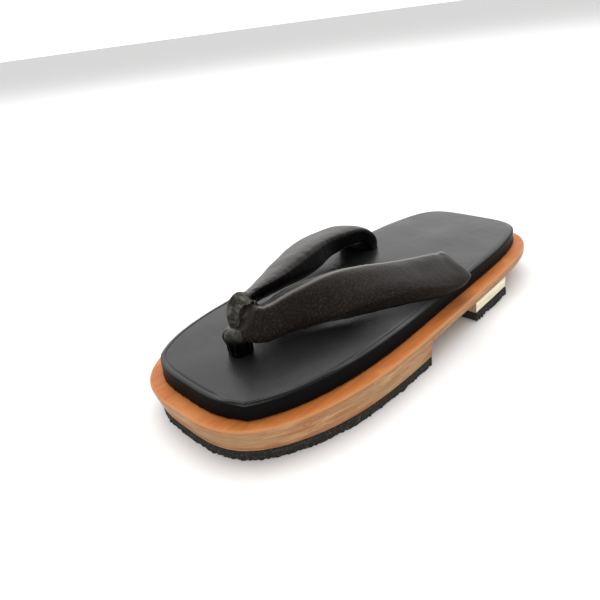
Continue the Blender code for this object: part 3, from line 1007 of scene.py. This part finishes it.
@dataclass(frozen=True)
class Footbed(Piece):
    """The leather-covered padded board: rolled shoulder, soft crease, and a peak at each toe corner."""

    holes: tuple[np.ndarray, ...]
    ledge_width: float = 0.0071
    toe_top_squareness: float = 3.25
    shoulder: float = 0.0013
    wall_lean: float = 0.0005
    roll: float = 0.0032
    peak_roll: float = 0.0010
    heel_roll: float = 0.0016
    heel_push: float = 0.0014
    roll_drop: float = 0.0020
    crease_width: float = 0.00055
    crease_depth: float = 0.00040
    ridge_width: float = 0.0006
    ridge_height: float = 0.00038
    corner: tuple[float, float] = (0.1120, 0.0318)
    corner_turn: float = 35.0
    front_reach: float = 0.0042
    side_reach: float = 0.0120
    corner_push: float = 0.0026
    corner_lift: float = 0.0005
    rows: int = 560
    across: int = 70

    def profile(self) -> np.ndarray:
        """The levels from the bottom edge in to beyond the crease.

        Returns:
            For each level its height, its inset from the footbed's own edge, and its squareness share.
        """
        top = self.heights.footbed_top
        low = self.heights.footbed_bottom
        rows = [(low, 0.0008, 0.0), (low + 0.0004, 0.0001, 0.0), (low + 0.0009, 0.0, 0.0)]
        wall_top = top - self.shoulder
        for share in (0.2, 0.4, 0.6, 0.8, 1.0):
            height = low + 0.0009 + share * (wall_top - low - 0.0009)
            rows.append((height, share * self.wall_lean, 0.4 * share))
        for angle in np.radians([14.0, 28.0, 42.0, 54.0, 64.0, 73.0, 81.0, 88.0]):
            height = wall_top + self.shoulder * math.sin(angle)
            inset = self.wall_lean + 0.85 * self.shoulder * (1.0 - math.cos(angle))
            rows.append((height, inset, 0.4 + 0.6 * math.sin(angle)))
        for inset in np.linspace(self.wall_lean + self.shoulder, 1.7 * self.roll, 24):
            rows.append((top, inset, 1.0))
        return np.array(rows)

    def relief(self, along: np.ndarray, across: np.ndarray, inset: np.ndarray) -> np.ndarray:
        """How high the leather's edge stands against the flat top.

        Formula: a quarter of an oval as wide as the roll, which is narrow at the near peak and widest at the
        heel, a fine crease just inside it that fades at both, and a low ridge at the peak.

        Args:
            along: x of each point.
            across: y of each point.
            inset: distance in from the footbed's edge.

        Returns:
            Height to add to the flat top.
        """
        behind = smooth_step((along + 0.065) / 0.045)
        peak = smooth_step((along - 0.040) / 0.045) * smooth_step((across - 0.014) / 0.014)
        heel = smooth_step((-0.02 - along) / 0.05)
        roll = self.roll + (self.peak_roll - self.roll) * peak + self.heel_roll * heel
        short = np.clip(1.0 - inset / roll, 0.0, 1.0)
        drop = self.roll_drop * (1.0 - np.sqrt(1.0 - short**2))
        fold = soft_bump(inset - roll - 0.0003, self.crease_width)
        crease = self.crease_depth * behind * (1.0 - peak) * fold
        ridge = self.ridge_height * peak * soft_bump(inset - roll - 0.0007, self.ridge_width)
        return ridge - crease - drop

    def build(self) -> bpy.types.Object:
        """Loft the profile round the outline, pad the top, and cut the holes for what goes into it.

        Formula: level rails from the bottom edge over the shoulder, closed across by rows of points. The top
        follows relief(), and soft waves lift it. A cusp, falling away with the distance along the edge from
        each toe corner, pushes the leather out where it is folded.

        Returns:
            The footbed as one closed object.
        """
        more = self.toe_top_squareness - self.outline.toe_squareness
        profile = self.profile()
        near = []
        for height, inset, share in profile:
            squareness = self.outline.toe_squareness + share * more
            rail = self.outline.rail(self.ledge_width + inset, self.rows, toe_squareness=squareness)
            near.append(np.column_stack([rail, np.full(self.rows, height)]))
        rings = slab_ring(np.array(near), self.across, 4)
        inset = np.concatenate([profile[:, 1], np.ones(self.across), profile[::-1, 1], np.zeros(4)])
        top = np.concatenate([profile[:, 2], np.ones(self.across), profile[::-1, 2], np.zeros(4)])
        level = self.heights.footbed_top + self.relief(rings[..., 0], rings[..., 1], inset)
        rings[..., 2] = np.where(top > 0.4, np.minimum(rings[..., 2], level) + np.maximum(
            level - self.heights.footbed_top, 0.0), rings[..., 2])
        wave = SmoothNoise(21)
        rings[..., 2] += top * (0.00014 * wave.swell(rings, 0.040) + 0.00002 * wave.swell(rings, 0.011))
        rings[..., 0] -= self.heel_push * smooth_step((-0.080 - rings[..., 0]) / 0.035)
        turn = math.radians(self.corner_turn)
        for side, share in ((1.0, 1.0), (-1.0, 0.3)):
            away = rings[..., :2] - np.array([self.corner[0], side * self.corner[1]])
            out = np.array([math.cos(turn), side * math.sin(turn)])
            back = np.array([-math.sin(turn), side * math.cos(turn)])
            edge = away @ back
            reach = np.where(edge > 0.0, self.side_reach, self.front_reach)
            cusp = share * np.exp(-np.abs(edge) / reach) * soft_bump(away @ out, 0.012)
            rings[..., :2] += self.corner_push * (cusp * (0.65 + 0.35 * top))[..., None] * out
            rings[..., 2] += self.corner_lift * cusp * top
        ragged = wave.at(rings, 0.0016) * (1.0 - smooth_step(top / 0.1))
        rings[..., :2] *= 1.0 + 0.0016 * ragged[..., None]
        bed = self.skin.piece("footbed_leather", [rings])
        for hole in self.holes:
            self.skin.combine(bed, self.skin.piece("hole", [hole]), "DIFFERENCE")
        self.skin.clean(bed)
        return bed

    def finish(self) -> bpy.types.Material:
        """The leather, whose wall starts below the shoulder."""
        return BedLeather(self.heights.footbed_top - self.shoulder).build()


def between_rows(rows: np.ndarray, steps: int, closed: bool = False) -> np.ndarray:
    """Read rows of numbers along a smooth curve that passes through each of them.

    Formula: a Catmull-Rom cubic between each pair of rows, all steps of a pair worked out at once.

    Args:
        rows: array of (count, values).
        steps: rows that take the place of each pair.
        closed: whether the last row leads back to the first.

    Returns:
        Array of the finer rows.
    """
    if closed:
        padded = np.vstack([rows[-1], rows, rows[0], rows[1]])
    else:
        padded = np.vstack([2 * rows[0] - rows[1], rows, 2 * rows[-1] - rows[-2]])
    before, first, second, after = padded[:-3], padded[1:-2], padded[2:-1], padded[3:]
    t = (np.arange(steps) / steps)[None, :, None]
    before, first, second, after = (part[:, None, :] for part in (before, first, second, after))
    found = 0.5 * (
        2 * first
        + (second - before) * t
        + (2 * before - 5 * first + 4 * second - after) * t**2
        + (3 * first - 3 * second + after - before) * t**3
    )
    found = found.reshape(-1, rows.shape[1])
    return found if closed else np.vstack([found, rows[-1]])


@dataclass(frozen=True)
class Thong(Piece):
    """One padded band of leather, folded at the toe post, with an arm to each side."""

    ledge_width: float = 0.0071
    post_from_toe: float = 0.0395
    nose_behind_post: float = 0.0035
    run: float = 0.1200
    hole_from_edge: float = 0.0123
    rise: float = 0.0180
    width: float = 0.0240
    thickness: float = 0.0140
    sway: float = 0.0050
    stagger: float = 0.0030
    lean_drop: float = 0.0035
    lean_angle: float = 14.0
    tail_width: float = 0.0140
    tail_thickness: float = 0.0056
    tail_heading: float = 80.0
    tail_root: float = 0.0020
    tail_depth: float = 0.0030
    squareness: float = 2.5
    end_squareness: float = 3.4
    bead: float = 0.00045
    rim_place: float = 0.62
    rim_width: float = 0.09
    around: int = 112
    steps: int = 24
    hole_rise: float = 0.0020
    # A search program fitted the rows of both arms to the band's edges in the photo, so they weren't chosen
    # by hand. The columns are run, spread, rise, width, thickness, tilt, heading, sway and lean.
    far_arm: tuple[tuple[float, ...], ...] = (
        (0.020, 0.00, 0.90, 0.58, 0.34, 52.0, 0.0, 0.00, 0.00),
        (0.034, 0.12, 0.90, 0.63, 0.38, 50.0, 42.0, 0.05, 0.60),
        (0.075, 0.20, 0.89, 0.71, 0.46, 51.0, 78.0, 0.10, 1.00),
        (0.220, 0.31, 0.89, 0.88, 0.72, 40.0, 76.0, 0.10, 1.00),
        (0.440, 0.59, 0.82, 1.00, 1.11, 29.0, 67.0, 0.15, 0.65),
        (0.660, 0.92, 0.69, 1.04, 0.98, 21.0, 70.0, 0.10, 0.62),
        (0.885, 1.08, 0.54, 0.97, 0.81, 18.0, 79.0, 0.80, 0.84),
        (0.980, 1.06, 0.26, 0.98, 0.88, 6.0, 80.0, 0.60, 0.42),
        (1.005, 1.05, -0.16, 1.00, 0.79, 10.0, 79.0, 0.10, 0.00),
    )
    near_arm: tuple[tuple[float, ...], ...] = (
        (0.020, 0.00, 0.90, 0.58, 0.34, 52.0, 0.0, 0.00, 0.00),
        (0.020, 0.18, 0.93, 0.74, 0.50, 44.0, 42.0, 0.05, 0.60),
        (0.068, 0.24, 0.91, 0.74, 0.60, 51.0, 78.0, 0.10, 1.00),
        (0.220, 0.30, 0.92, 0.89, 0.76, 54.0, 76.0, 0.10, 1.00),
        (0.440, 0.56, 0.80, 1.01, 0.98, 25.0, 67.0, 0.15, 0.65),
        (0.660, 0.94, 0.69, 1.02, 0.88, 11.0, 70.0, 0.10, 0.62),
        (0.885, 1.07, 0.52, 1.03, 0.72, 16.0, 79.0, 0.80, 0.84),
        (0.972, 1.09, 0.31, 0.92, 0.80, 12.0, 77.0, 0.50, 0.36),
        (0.998, 1.06, -0.20, 0.96, 0.76, 9.0, 80.0, 0.10, 0.00),
    )

    @property
    def post_x(self) -> float:
        """Where the toe post stands."""
        return self.outline.toe_x - self.post_from_toe

    @property
    def nose_x(self) -> float:
        """Where the band folds."""
        return self.post_x - self.nose_behind_post

    @property
    def hole_x(self) -> float:
        """Where the arms go into the footbed."""
        return self.nose_x - self.run

    @property
    def hole_spread(self) -> float:
        """How far from the middle each arm goes into the footbed."""
        return float(self.outline.half_width(self.hole_x)) - self.ledge_width - self.hole_from_edge

    def rows(self) -> np.ndarray:
        """The whole band's rows from the far hole round the fold to the near hole.

        Returns:
            Array of x, y, z, half width, half thickness, tilt and heading.
        """
        arms = []
        for side, table in ((-1.0, self.far_arm), (1.0, self.near_arm)):
            run, spread, rise, width, thickness, tilt, heading, sway, lean = np.array(table).T
            arms.append(np.column_stack([
                self.nose_x - run * (self.run - side * self.stagger),
                side * spread * self.hole_spread + sway * self.sway,
                self.heights.footbed_top + rise * self.rise - side * lean * self.lean_drop,
                width * self.width / 2,
                thickness * self.thickness / 2,
                tilt + side * lean * self.lean_angle,
                side * heading,
            ]))
        return np.vstack([arms[0][::-1], arms[1][1:]])

    def rings(
        self, rows: np.ndarray, tangents: np.ndarray, grow: float, relief: float, around: int
    ) -> np.ndarray:
        """Set a squared oval at each row.

        Formula: each ring is centre plus rounded cosine times the wide direction plus rounded sine times the
        thick one. The wide direction is the heading turned square to the path and tilted about it.

        Args:
            rows: array from rows(), at any spacing.
            tangents: unit direction of the path at each row.
            grow: distance added all round.
            relief: share of the wrinkles that is used.
            around: points of a ring.

        Returns:
            Array of (rows, around, 3).
        """
        turn = np.radians(rows[:, 6])
        lean = np.radians(rows[:, 5])[:, None]
        outward = np.column_stack([np.cos(turn), np.sin(turn), np.zeros(len(rows))])
        outward -= tangents * np.sum(outward * tangents, axis=1)[:, None]
        outward /= np.linalg.norm(outward, axis=1)[:, None]
        upward = np.cross(outward, tangents)
        wide = np.cos(lean) * outward - np.sin(lean) * upward
        thick = np.sin(lean) * outward + np.cos(lean) * upward
        angle = np.linspace(2.0 * math.pi, 0.0, around, endpoint=False)[None, :]
        swell = grow + (self.wrinkles(rows, tangents, angle) * relief if relief else 0.0)
        away = np.abs(rows[:, :1] - self.nose_x) / self.run
        square = self.squareness + (self.end_squareness - self.squareness) * smooth_step((away - 0.2) / 0.4)
        across = (rows[:, 3:4] + swell) * rounded_power(np.cos(angle), square)
        through = (rows[:, 4:5] + swell) * rounded_power(np.sin(angle), square)
        return rows[:, None, :3] + across[..., None] * wide[:, None] + through[..., None] * thick[:, None]

    def wrinkles(self, rows: np.ndarray, tangents: np.ndarray, angle: np.ndarray) -> np.ndarray:
        """How far the leather stands out at each row and angle.

        Formula: soft noise along the band, fine slanting creases that fade away from the fold, small cross
        creases over all its length, and a bead along both edges where the leather turns under.

        Args:
            rows: array from rows().
            tangents: unit direction of the path at each row; not used.
            angle: ring angles, as one row.

        Returns:
            Array of (rows, angles) in metres.
        """
        steps = np.linalg.norm(np.diff(rows[:, :3], axis=0), axis=1)
        run = np.concatenate([[0.0], np.cumsum(steps)])
        run -= run[-1] / 2
        half = rows[:, 3:4]
        spread = np.broadcast_arrays(run[:, None], half * np.cos(angle), half * np.sin(angle))
        places = np.stack(spread, axis=-1)
        noise = SmoothNoise(31)
        soft = 0.00022 * noise.at(places, 0.011) + 0.00008 * noise.at(places + 0.3, 0.0042)
        near_fold = soft_bump(np.abs(run)[:, None] - 0.012, 0.018)
        slanted = places * np.array([1.0, 0.45, 0.45]) + 0.7
        creases = noise.at(slanted, 0.0021) + 0.6 * noise.at(slanted, 0.0012)
        cross = noise.at(places + 1.1, (0.0016, 0.009, 0.009)) * noise.at(places + 1.7, 0.012) ** 2
        bead = soft_bump(np.abs(np.sin(angle)) - 0.45, 0.22) * (np.abs(np.cos(angle)) > 0.5)
        away = smooth_step((np.abs(run)[:, None] - 0.03) / 0.03)
        return soft + 0.00024 * near_fold * creases + 0.00030 * cross + self.bead * bead * away

    def band(self, grow: float, relief: float, steps: int, around: int) -> np.ndarray:
        """Every ring of the band from one sunk end to the other."""
        rows = between_rows(self.rows(), steps)
        tangents = np.gradient(rows[:, :3], axis=0)
        tangents /= np.linalg.norm(tangents, axis=1)[:, None]
        return self.rings(rows, tangents, grow, relief, around)

    def tail(self, side: float, bottom: float, top: float, grow: float) -> np.ndarray:
        """The straight end of an arm, as two level rings and a point at each end."""
        row = [self.hole_x, side * self.hole_spread, 0.0, self.tail_width / 2, self.tail_thickness / 2, 0.0,
               side * self.tail_heading]
        rows = np.array([row, row])
        rows[:, 2] = (bottom, top)
        up = np.array([[0.0, 0.0, 1.0]] * 2)
        return capped(self.rings(rows, up, grow, 0.0, 40))

    def build(self) -> bpy.types.Object:
        """Loft the band, cut it flat where it lies on the footbed, and join the tails.

        Formula: the shares of painted shade and painted highlight follow the ring's angle. The painted shade,
        a dead black, covers the underside and the edge that faces the other arm. The painted highlight is a
        narrow line above it, on the near arm only.

        Returns:
            The band as one closed object.
        """
        band = capped(self.band(0.0, 1.0, self.steps, self.around))
        angle = np.linspace(2.0 * math.pi, 0.0, self.around, endpoint=False)
        # Painted shade in black over the underside and inner edge, and a painted highlight along the near
        # arm's upper edge.
        painted_shade = smooth_step((0.45 * np.maximum(-np.cos(angle), 0.0) - 0.15 - np.sin(angle)) / 0.2)
        rim = soft_bump(np.sin(angle) - self.rim_place, self.rim_width) * (np.cos(angle) < 0.0)
        near = smooth_step((np.linspace(-1.0, 1.0, len(band)) - 0.05) / 0.1)
        shares = {"painted_shade": np.tile(painted_shade, (len(band), 1)), "rim": near[:, None] * rim}
        straps = self.skin.piece("straps_leather", [band], shares=shares)
        self.skin.trim(straps, self.heights.footbed_top + self.heights.gap)
        bottom = self.heights.ledge - self.tail_depth
        top = self.heights.footbed_top + self.tail_root
        tails = [self.tail(side, bottom, top, 0.0) for side in (-1.0, 1.0)]
        self.skin.join(straps, self.skin.piece("tails", tails))
        self.skin.clean(straps)
        return straps

    def holes(self) -> list[np.ndarray]:
        """The rings of the holes that the arms' tails need."""
        bottom = self.heights.ledge - self.tail_depth - self.heights.gap
        top = self.heights.footbed_top + self.hole_rise
        return [self.tail(side, bottom, top, self.heights.gap) for side in (-1.0, 1.0)]


def capped(rings: np.ndarray) -> np.ndarray:
    """Close a stack of rings with a point at the middle of each end ring."""
    first = np.repeat(rings[:1].mean(axis=1, keepdims=True), rings.shape[1], axis=1)
    last = np.repeat(rings[-1:].mean(axis=1, keepdims=True), rings.shape[1], axis=1)
    return np.concatenate([first, rings, last])


@dataclass(frozen=True)
class ToeLoop(Piece):
    """The gathered leather loop round the thong's fold, and the post that holds it down."""

    thong: Thong
    thickness: float = 0.0028
    width: float = 0.0088
    length: float = 0.0118
    height: float = 0.0175
    lift: float = 0.0160
    set_back: float = 0.0026
    roll: float = 30.0
    shift: float = 0.0020
    squareness: float = 2.5
    post_length: float = 0.0110
    post_width: float = 0.0105
    post_height: float = 0.0128
    around: int = 120
    steps: int = 30
    gathers: int = 8
    gather_depth: float = 0.0019
    wander_depth: float = 0.0002
    fan: float = 0.9
    path: tuple[tuple[float, ...], ...] = (
        (0.10, -0.42, 0.70, 1.30, 0.4),
        (-0.05, 0.00, 0.62, 1.00, 1.0),
        (0.05, 0.33, 0.72, 1.00, 1.0),
        (0.42, 0.49, 0.84, 1.00, 0.9),
        (0.82, 0.34, 0.80, 0.95, 0.7),
        (1.00, 0.06, 0.46, 0.90, 0.5),
        (0.92, -0.28, 0.52, 1.10, 0.2),
        (0.55, -0.50, 0.80, 1.20, 0.0),
    )
    post: tuple[tuple[float, float, float], ...] = (
        (0.08, 1.00, 1.00),
        (0.36, 1.00, 1.04),
        (0.68, 1.20, 1.24),
        (0.88, 1.06, 1.12),
        (1.00, 0.74, 0.80),
    )

    def band(self) -> np.ndarray:
        """The loop's rings round its closed path in the shoe's middle plane.

        Formula: a squared oval square to a smooth closed path and rolled towards the near arm over its top.
        Its outer face is drawn into gathers that run along the path, crowd together in the crotch, and fan
        out to the front.

        Returns:
            Array of (rows, around, 3), closed in both directions.
        """
        rows = between_rows(np.array(self.path), self.steps, closed=True)
        front = self.thong.post_x + self.thickness / 2 - self.set_back
        middle = self.heights.footbed_top + self.lift
        centre = np.column_stack([
            front - rows[:, 0] * self.length, -self.shift * rows[:, 4], middle + rows[:, 1] * self.height
        ])
        tangents = np.roll(centre, -1, axis=0) - np.roll(centre, 1, axis=0)
        tangents /= np.linalg.norm(tangents, axis=1)[:, None]
        level = np.array([0.0, 1.0, 0.0])
        upright = np.cross(tangents, level)
        turn = np.radians(self.roll * rows[:, 4])[:, None]
        across = np.cos(turn) * level + np.sin(turn) * upright
        outward = np.cos(turn) * upright - np.sin(turn) * level
        angle = np.linspace(0.0, 2.0 * math.pi, self.around, endpoint=False)[None, :]
        share = rounded_power(np.cos(angle), self.squareness)
        noise = SmoothNoise(41)
        place = np.linspace(0.0, 0.05, len(rows))[:, None]
        spots = np.stack(np.broadcast_arrays(place, share * 0.004, np.zeros((1, 1))), axis=-1)
        wander = noise.at(spots, 0.006)
        phase = self.gathers * math.pi * share / np.maximum(rows[:, 2:3], 0.5) ** self.fan
        fold = np.abs(np.cos(0.5 * phase + 1.1 * wander))
        gather = self.gather_depth * (fold - 0.65) + self.wander_depth * wander
        wide = rows[:, 2:3] * self.width / 2 * share
        thick = (rows[:, 3:4] * self.thickness / 2 + gather) * rounded_power(np.sin(angle), self.squareness)
        return centre[:, None] + wide[..., None] * across[:, None] + thick[..., None] * outward[:, None]

    def post_rings(self) -> np.ndarray:
        """The post from the bottom of its pocket up, with upright gathers.

        Formula: level squared ovals whose size follows a smooth curve of the height, pushed in and out by a
        wave that runs round them and wanders with the height.

        Returns:
            Array of (rows, around, 3) with both ends closed.
        """
        rows = between_rows(np.array(self.post), self.steps)
        low = self.heights.ledge - self.thong.tail_depth
        bottom = np.array([[0.0, 1.0, 1.0]])
        levels = np.concatenate([[low], self.heights.footbed_top + rows[:, 0] * self.post_height])
        rows = np.concatenate([bottom, rows])
        angle = np.linspace(0.0, 2.0 * math.pi, self.around, endpoint=False)[None, :]
        noise = SmoothNoise(43)
        spots = np.stack(np.broadcast_arrays(
            0.005 * np.cos(angle), 0.005 * np.sin(angle), levels[:, None] * 0.5), axis=-1)
        wander = noise.at(spots, 0.0035)
        above = smooth_step((levels[:, None] - self.heights.footbed_top - 0.0003) / 0.002)
        ripple = above * (0.00035 * np.cos(11.0 * angle + 2.0 * wander) + 0.0004 * wander)
        half_long = rows[:, 1:2] * self.post_length / 2 + ripple
        half_wide = rows[:, 2:3] * self.post_width / 2 + ripple
        along = self.thong.post_x + half_long * rounded_power(np.cos(angle), self.squareness)
        across = half_wide * rounded_power(np.sin(angle), self.squareness)
        return capped(np.stack(np.broadcast_arrays(along, across, levels[:, None]), axis=-1))

    def hole(self) -> np.ndarray:
        """The rings of the hole that the post needs."""
        angle = np.linspace(0.0, 2.0 * math.pi, self.around, endpoint=False)
        grow = self.heights.gap
        half_long = self.post_length / 2 + grow
        along = self.thong.post_x + half_long * rounded_power(np.cos(angle), self.squareness)
        across = (self.post_width / 2 + grow) * rounded_power(np.sin(angle), self.squareness)
        bottom = self.heights.ledge - self.thong.tail_depth - grow
        levels = (bottom, self.heights.footbed_top + self.thong.hole_rise)
        return capped(np.stack([np.column_stack([along, across, np.full(self.around, z)]) for z in levels]))

    def build(self) -> bpy.types.Object:
        """Join the loop to its post, and clear the room that the thong's fold takes.

        Returns:
            The loop and its post as one closed object.
        """
        loop = self.skin.piece("toe_loop_leather", [self.post_rings()])
        self.skin.combine(loop, self.skin.piece("loop_band", [self.band()], along=True), "UNION")
        fold = capped(self.thong.band(self.heights.gap * 0.3, 0.0, 10, 48))
        self.skin.combine(loop, self.skin.piece("fold_room", [fold]), "DIFFERENCE")
        self.skin.clean(loop)
        return loop


@dataclass(frozen=True)
class Studio:
    """White paper, a sky bright behind and dim in front, two soft lights, and the photograph's camera."""

    azimuth: float = 138.72
    elevation: float = 27.19
    roll: float = -7.66
    distance: float = 0.31516
    target: tuple[float, float, float] = (0.0267, -0.02344, 0.020)
    lens: float = 33.18
    front_sky: float = 0.20
    back_sky: float = 1.50
    bright_way: tuple[float, float, float] = (-0.62, -0.72, 0.30)
    paper: Colour = (0.88, 0.88, 0.875, 1.0)
    paper_radius: float = 14.0
    lights: tuple[tuple[str, tuple[float, float, float], float, float], ...] = (
        ("floor_light", (-0.35, -0.40, 1.5), 2.8, 32.0),
        ("front_light", (1.0, 1.15, 0.9), 2.0, 17.0),
    )

    def camera(self) -> bpy.types.Object:
        """Place the camera on its sphere about the target and roll it about its own axis."""
        azimuth, elevation, roll = (math.radians(a) for a in (self.azimuth, self.elevation, self.roll))
        level = math.cos(elevation)
        back = Vector((math.sin(azimuth) * level, -math.cos(azimuth) * level, math.sin(elevation)))
        right = Vector((0.0, 0.0, 1.0)).cross(back).normalized()
        up = back.cross(right)
        side = math.cos(roll) * right + math.sin(roll) * up
        top = -math.sin(roll) * right + math.cos(roll) * up
        lens = bpy.data.cameras.new("studio_camera")
        lens.lens = self.lens
        lens.sensor_width = 36.0
        lens.clip_start = 0.001
        camera = bpy.data.objects.new("studio_camera", lens)
        turn = Matrix((side, top, back)).transposed().to_4x4()
        camera.matrix_world = Matrix.Translation(Vector(self.target) + self.distance * back) @ turn
        bpy.context.scene.collection.objects.link(camera)
        bpy.context.scene.camera = camera
        return camera

    def sheet_of_paper(self) -> bpy.types.Object:
        """The paper under the sandal.

        Formula: a level disc of rings whose radius grows evenly.

        Returns:
            The floor object.
        """
        radius = np.linspace(0.0, self.paper_radius, 16)[:, None]
        angle = np.linspace(0.0, 2.0 * math.pi, 96, endpoint=False)[None, :]
        grid = np.stack(np.broadcast_arrays(radius * np.cos(angle), radius * np.sin(angle), 0.0), axis=-1)
        index = np.arange(grid.shape[0] * grid.shape[1]).reshape(grid.shape[:2])
        index = np.concatenate([index, index[:, :1]], axis=1)
        quads = np.stack([index[:-1, :-1], index[1:, :-1], index[1:, 1:], index[:-1, 1:]], axis=-1)
        mesh = bpy.data.meshes.new("paper")
        mesh.from_pydata(grid.reshape(-1, 3).tolist(), [], quads.reshape(-1, 4).tolist())
        floor = bpy.data.objects.new("paper", mesh)
        bpy.context.scene.collection.objects.link(floor)
        material = bpy.data.materials.new("white_paper")
        material.use_nodes = True
        shader = material.node_tree.nodes["Principled BSDF"]
        shader.inputs["Base Color"].default_value = self.paper
        shader.inputs["Roughness"].default_value = 0.9
        shader.inputs["Specular IOR Level"].default_value = 0.1
        mesh.materials.append(material)
        return floor

    def soft_box(self, name: str, place: tuple[float, float, float], size: float, power: float) -> None:
        """Hang a square soft light that faces the sandal and leaves no glint on it.

        Args:
            name: name of the light.
            place: where it hangs.
            size: length of its side.
            power: watts.
        """
        lamp = bpy.data.lights.new(name, "AREA")
        lamp.shape = "SQUARE"
        lamp.size = size
        lamp.energy = power
        light = bpy.data.objects.new(name, lamp)
        light.location = place
        light.rotation_euler = (-Vector(place)).to_track_quat("-Z", "Y").to_euler()
        light.visible_glossy = False
        bpy.context.scene.collection.objects.link(light)

    def build(self) -> None:
        """Set the sky, the lights, the floor and the camera."""
        world = bpy.data.worlds.new("studio_sky")
        world.use_nodes = True
        tree = world.node_tree
        way = tree.nodes.new("ShaderNodeTexCoord")
        facing = tree.nodes.new("ShaderNodeVectorMath")
        facing.operation = "DOT_PRODUCT"
        facing.inputs[1].default_value = Vector(self.bright_way).normalized()
        tree.links.new(way.outputs["Generated"], facing.inputs[0])
        strength = tree.nodes.new("ShaderNodeMapRange")
        strength.interpolation_type = "SMOOTHSTEP"
        limits = {"From Min": -0.10, "From Max": 0.80, "To Min": self.front_sky, "To Max": self.back_sky}
        for name, value in limits.items():
            strength.inputs[name].default_value = value
        tree.links.new(facing.outputs["Value"], strength.inputs["Value"])
        background = tree.nodes["Background"]
        background.inputs["Color"].default_value = (1.0, 1.0, 1.0, 1.0)
        tree.links.new(strength.outputs["Result"], background.inputs["Strength"])
        bpy.context.scene.world = world
        bpy.context.scene.view_settings.view_transform = "Standard"
        self.sheet_of_paper()
        for light in self.lights:
            self.soft_box(*light)
        self.camera()


@dataclass
class Sandal:
    """All the pieces, built from the ground up."""

    outline: Outline = field(default_factory=Outline)
    heights: Heights = field(default_factory=Heights)
    skin: Skin = field(default_factory=Skin)

    def ride(self, piece: bpy.types.Object, node: str) -> bpy.types.Object:
        """Let a piece stand for its node and ride on the sandal's body.

        Args:
            piece: dressed object.
            node: name of the node that it replaces.

        Returns:
            The same object.
        """
        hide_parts(node)
        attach(piece, "root")
        LOG.info("%s stands for %s with %d faces", piece.name, node, len(piece.data.polygons))
        return piece

    def build(self) -> None:
        """Build and dress every piece."""
        shared = (self.outline, self.heights, self.skin)
        base = WoodBase(*shared)
        tooth = HeelTooth(*shared)
        thong = Thong(*shared)
        loop = ToeLoop(*shared, thong)
        bed = Footbed(*shared, (loop.hole(), *thong.holes()))
        rubber = SpongeRubber().build()
        leather = StrapLeather().build()
        # Heights over which the loop's painted shade gives way to its paler tone.
        fading = (self.heights.footbed_top + 0.006, self.heights.footbed_top + 0.021)
        loop_leather = StrapLeather("loop_leather", fading=fading).build()
        front_sole = RubberSole(
            *shared, "front_sole_crumb", End.TIP, base.step_x, 0.0, base.toe_undercut, 51
        )
        heel_sole = RubberSole(
            *shared, "heel_sole_crumb", End.CUT, tooth.back_x, tooth.front_x, 0.0, 52,
            rows=240, crumb=0.00075, nick=0.0017,
        )
        self.ride(base.dress(StainedWood(self.heights.ledge).build()), "base")
        self.ride(tooth.dress(PaleWood().build()), "heel_tooth")
        self.ride(front_sole.dress(rubber), "front_sole_rubber")
        self.ride(heel_sole.dress(rubber), "heel_sole_rubber")
        footbed = self.ride(bed.dress(bed.finish()), "footbed")
        straps = self.ride(thong.dress(leather), "straps")
        self.ride(loop.dress(loop_leather), "toe_loop")


def main() -> None:
    """Load the frame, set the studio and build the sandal."""
    logging.basicConfig(level=logging.INFO, format="%(name)s: %(message)s")
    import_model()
    Studio().build()
    Sandal().build()


if __name__ == "__main__":
    main()
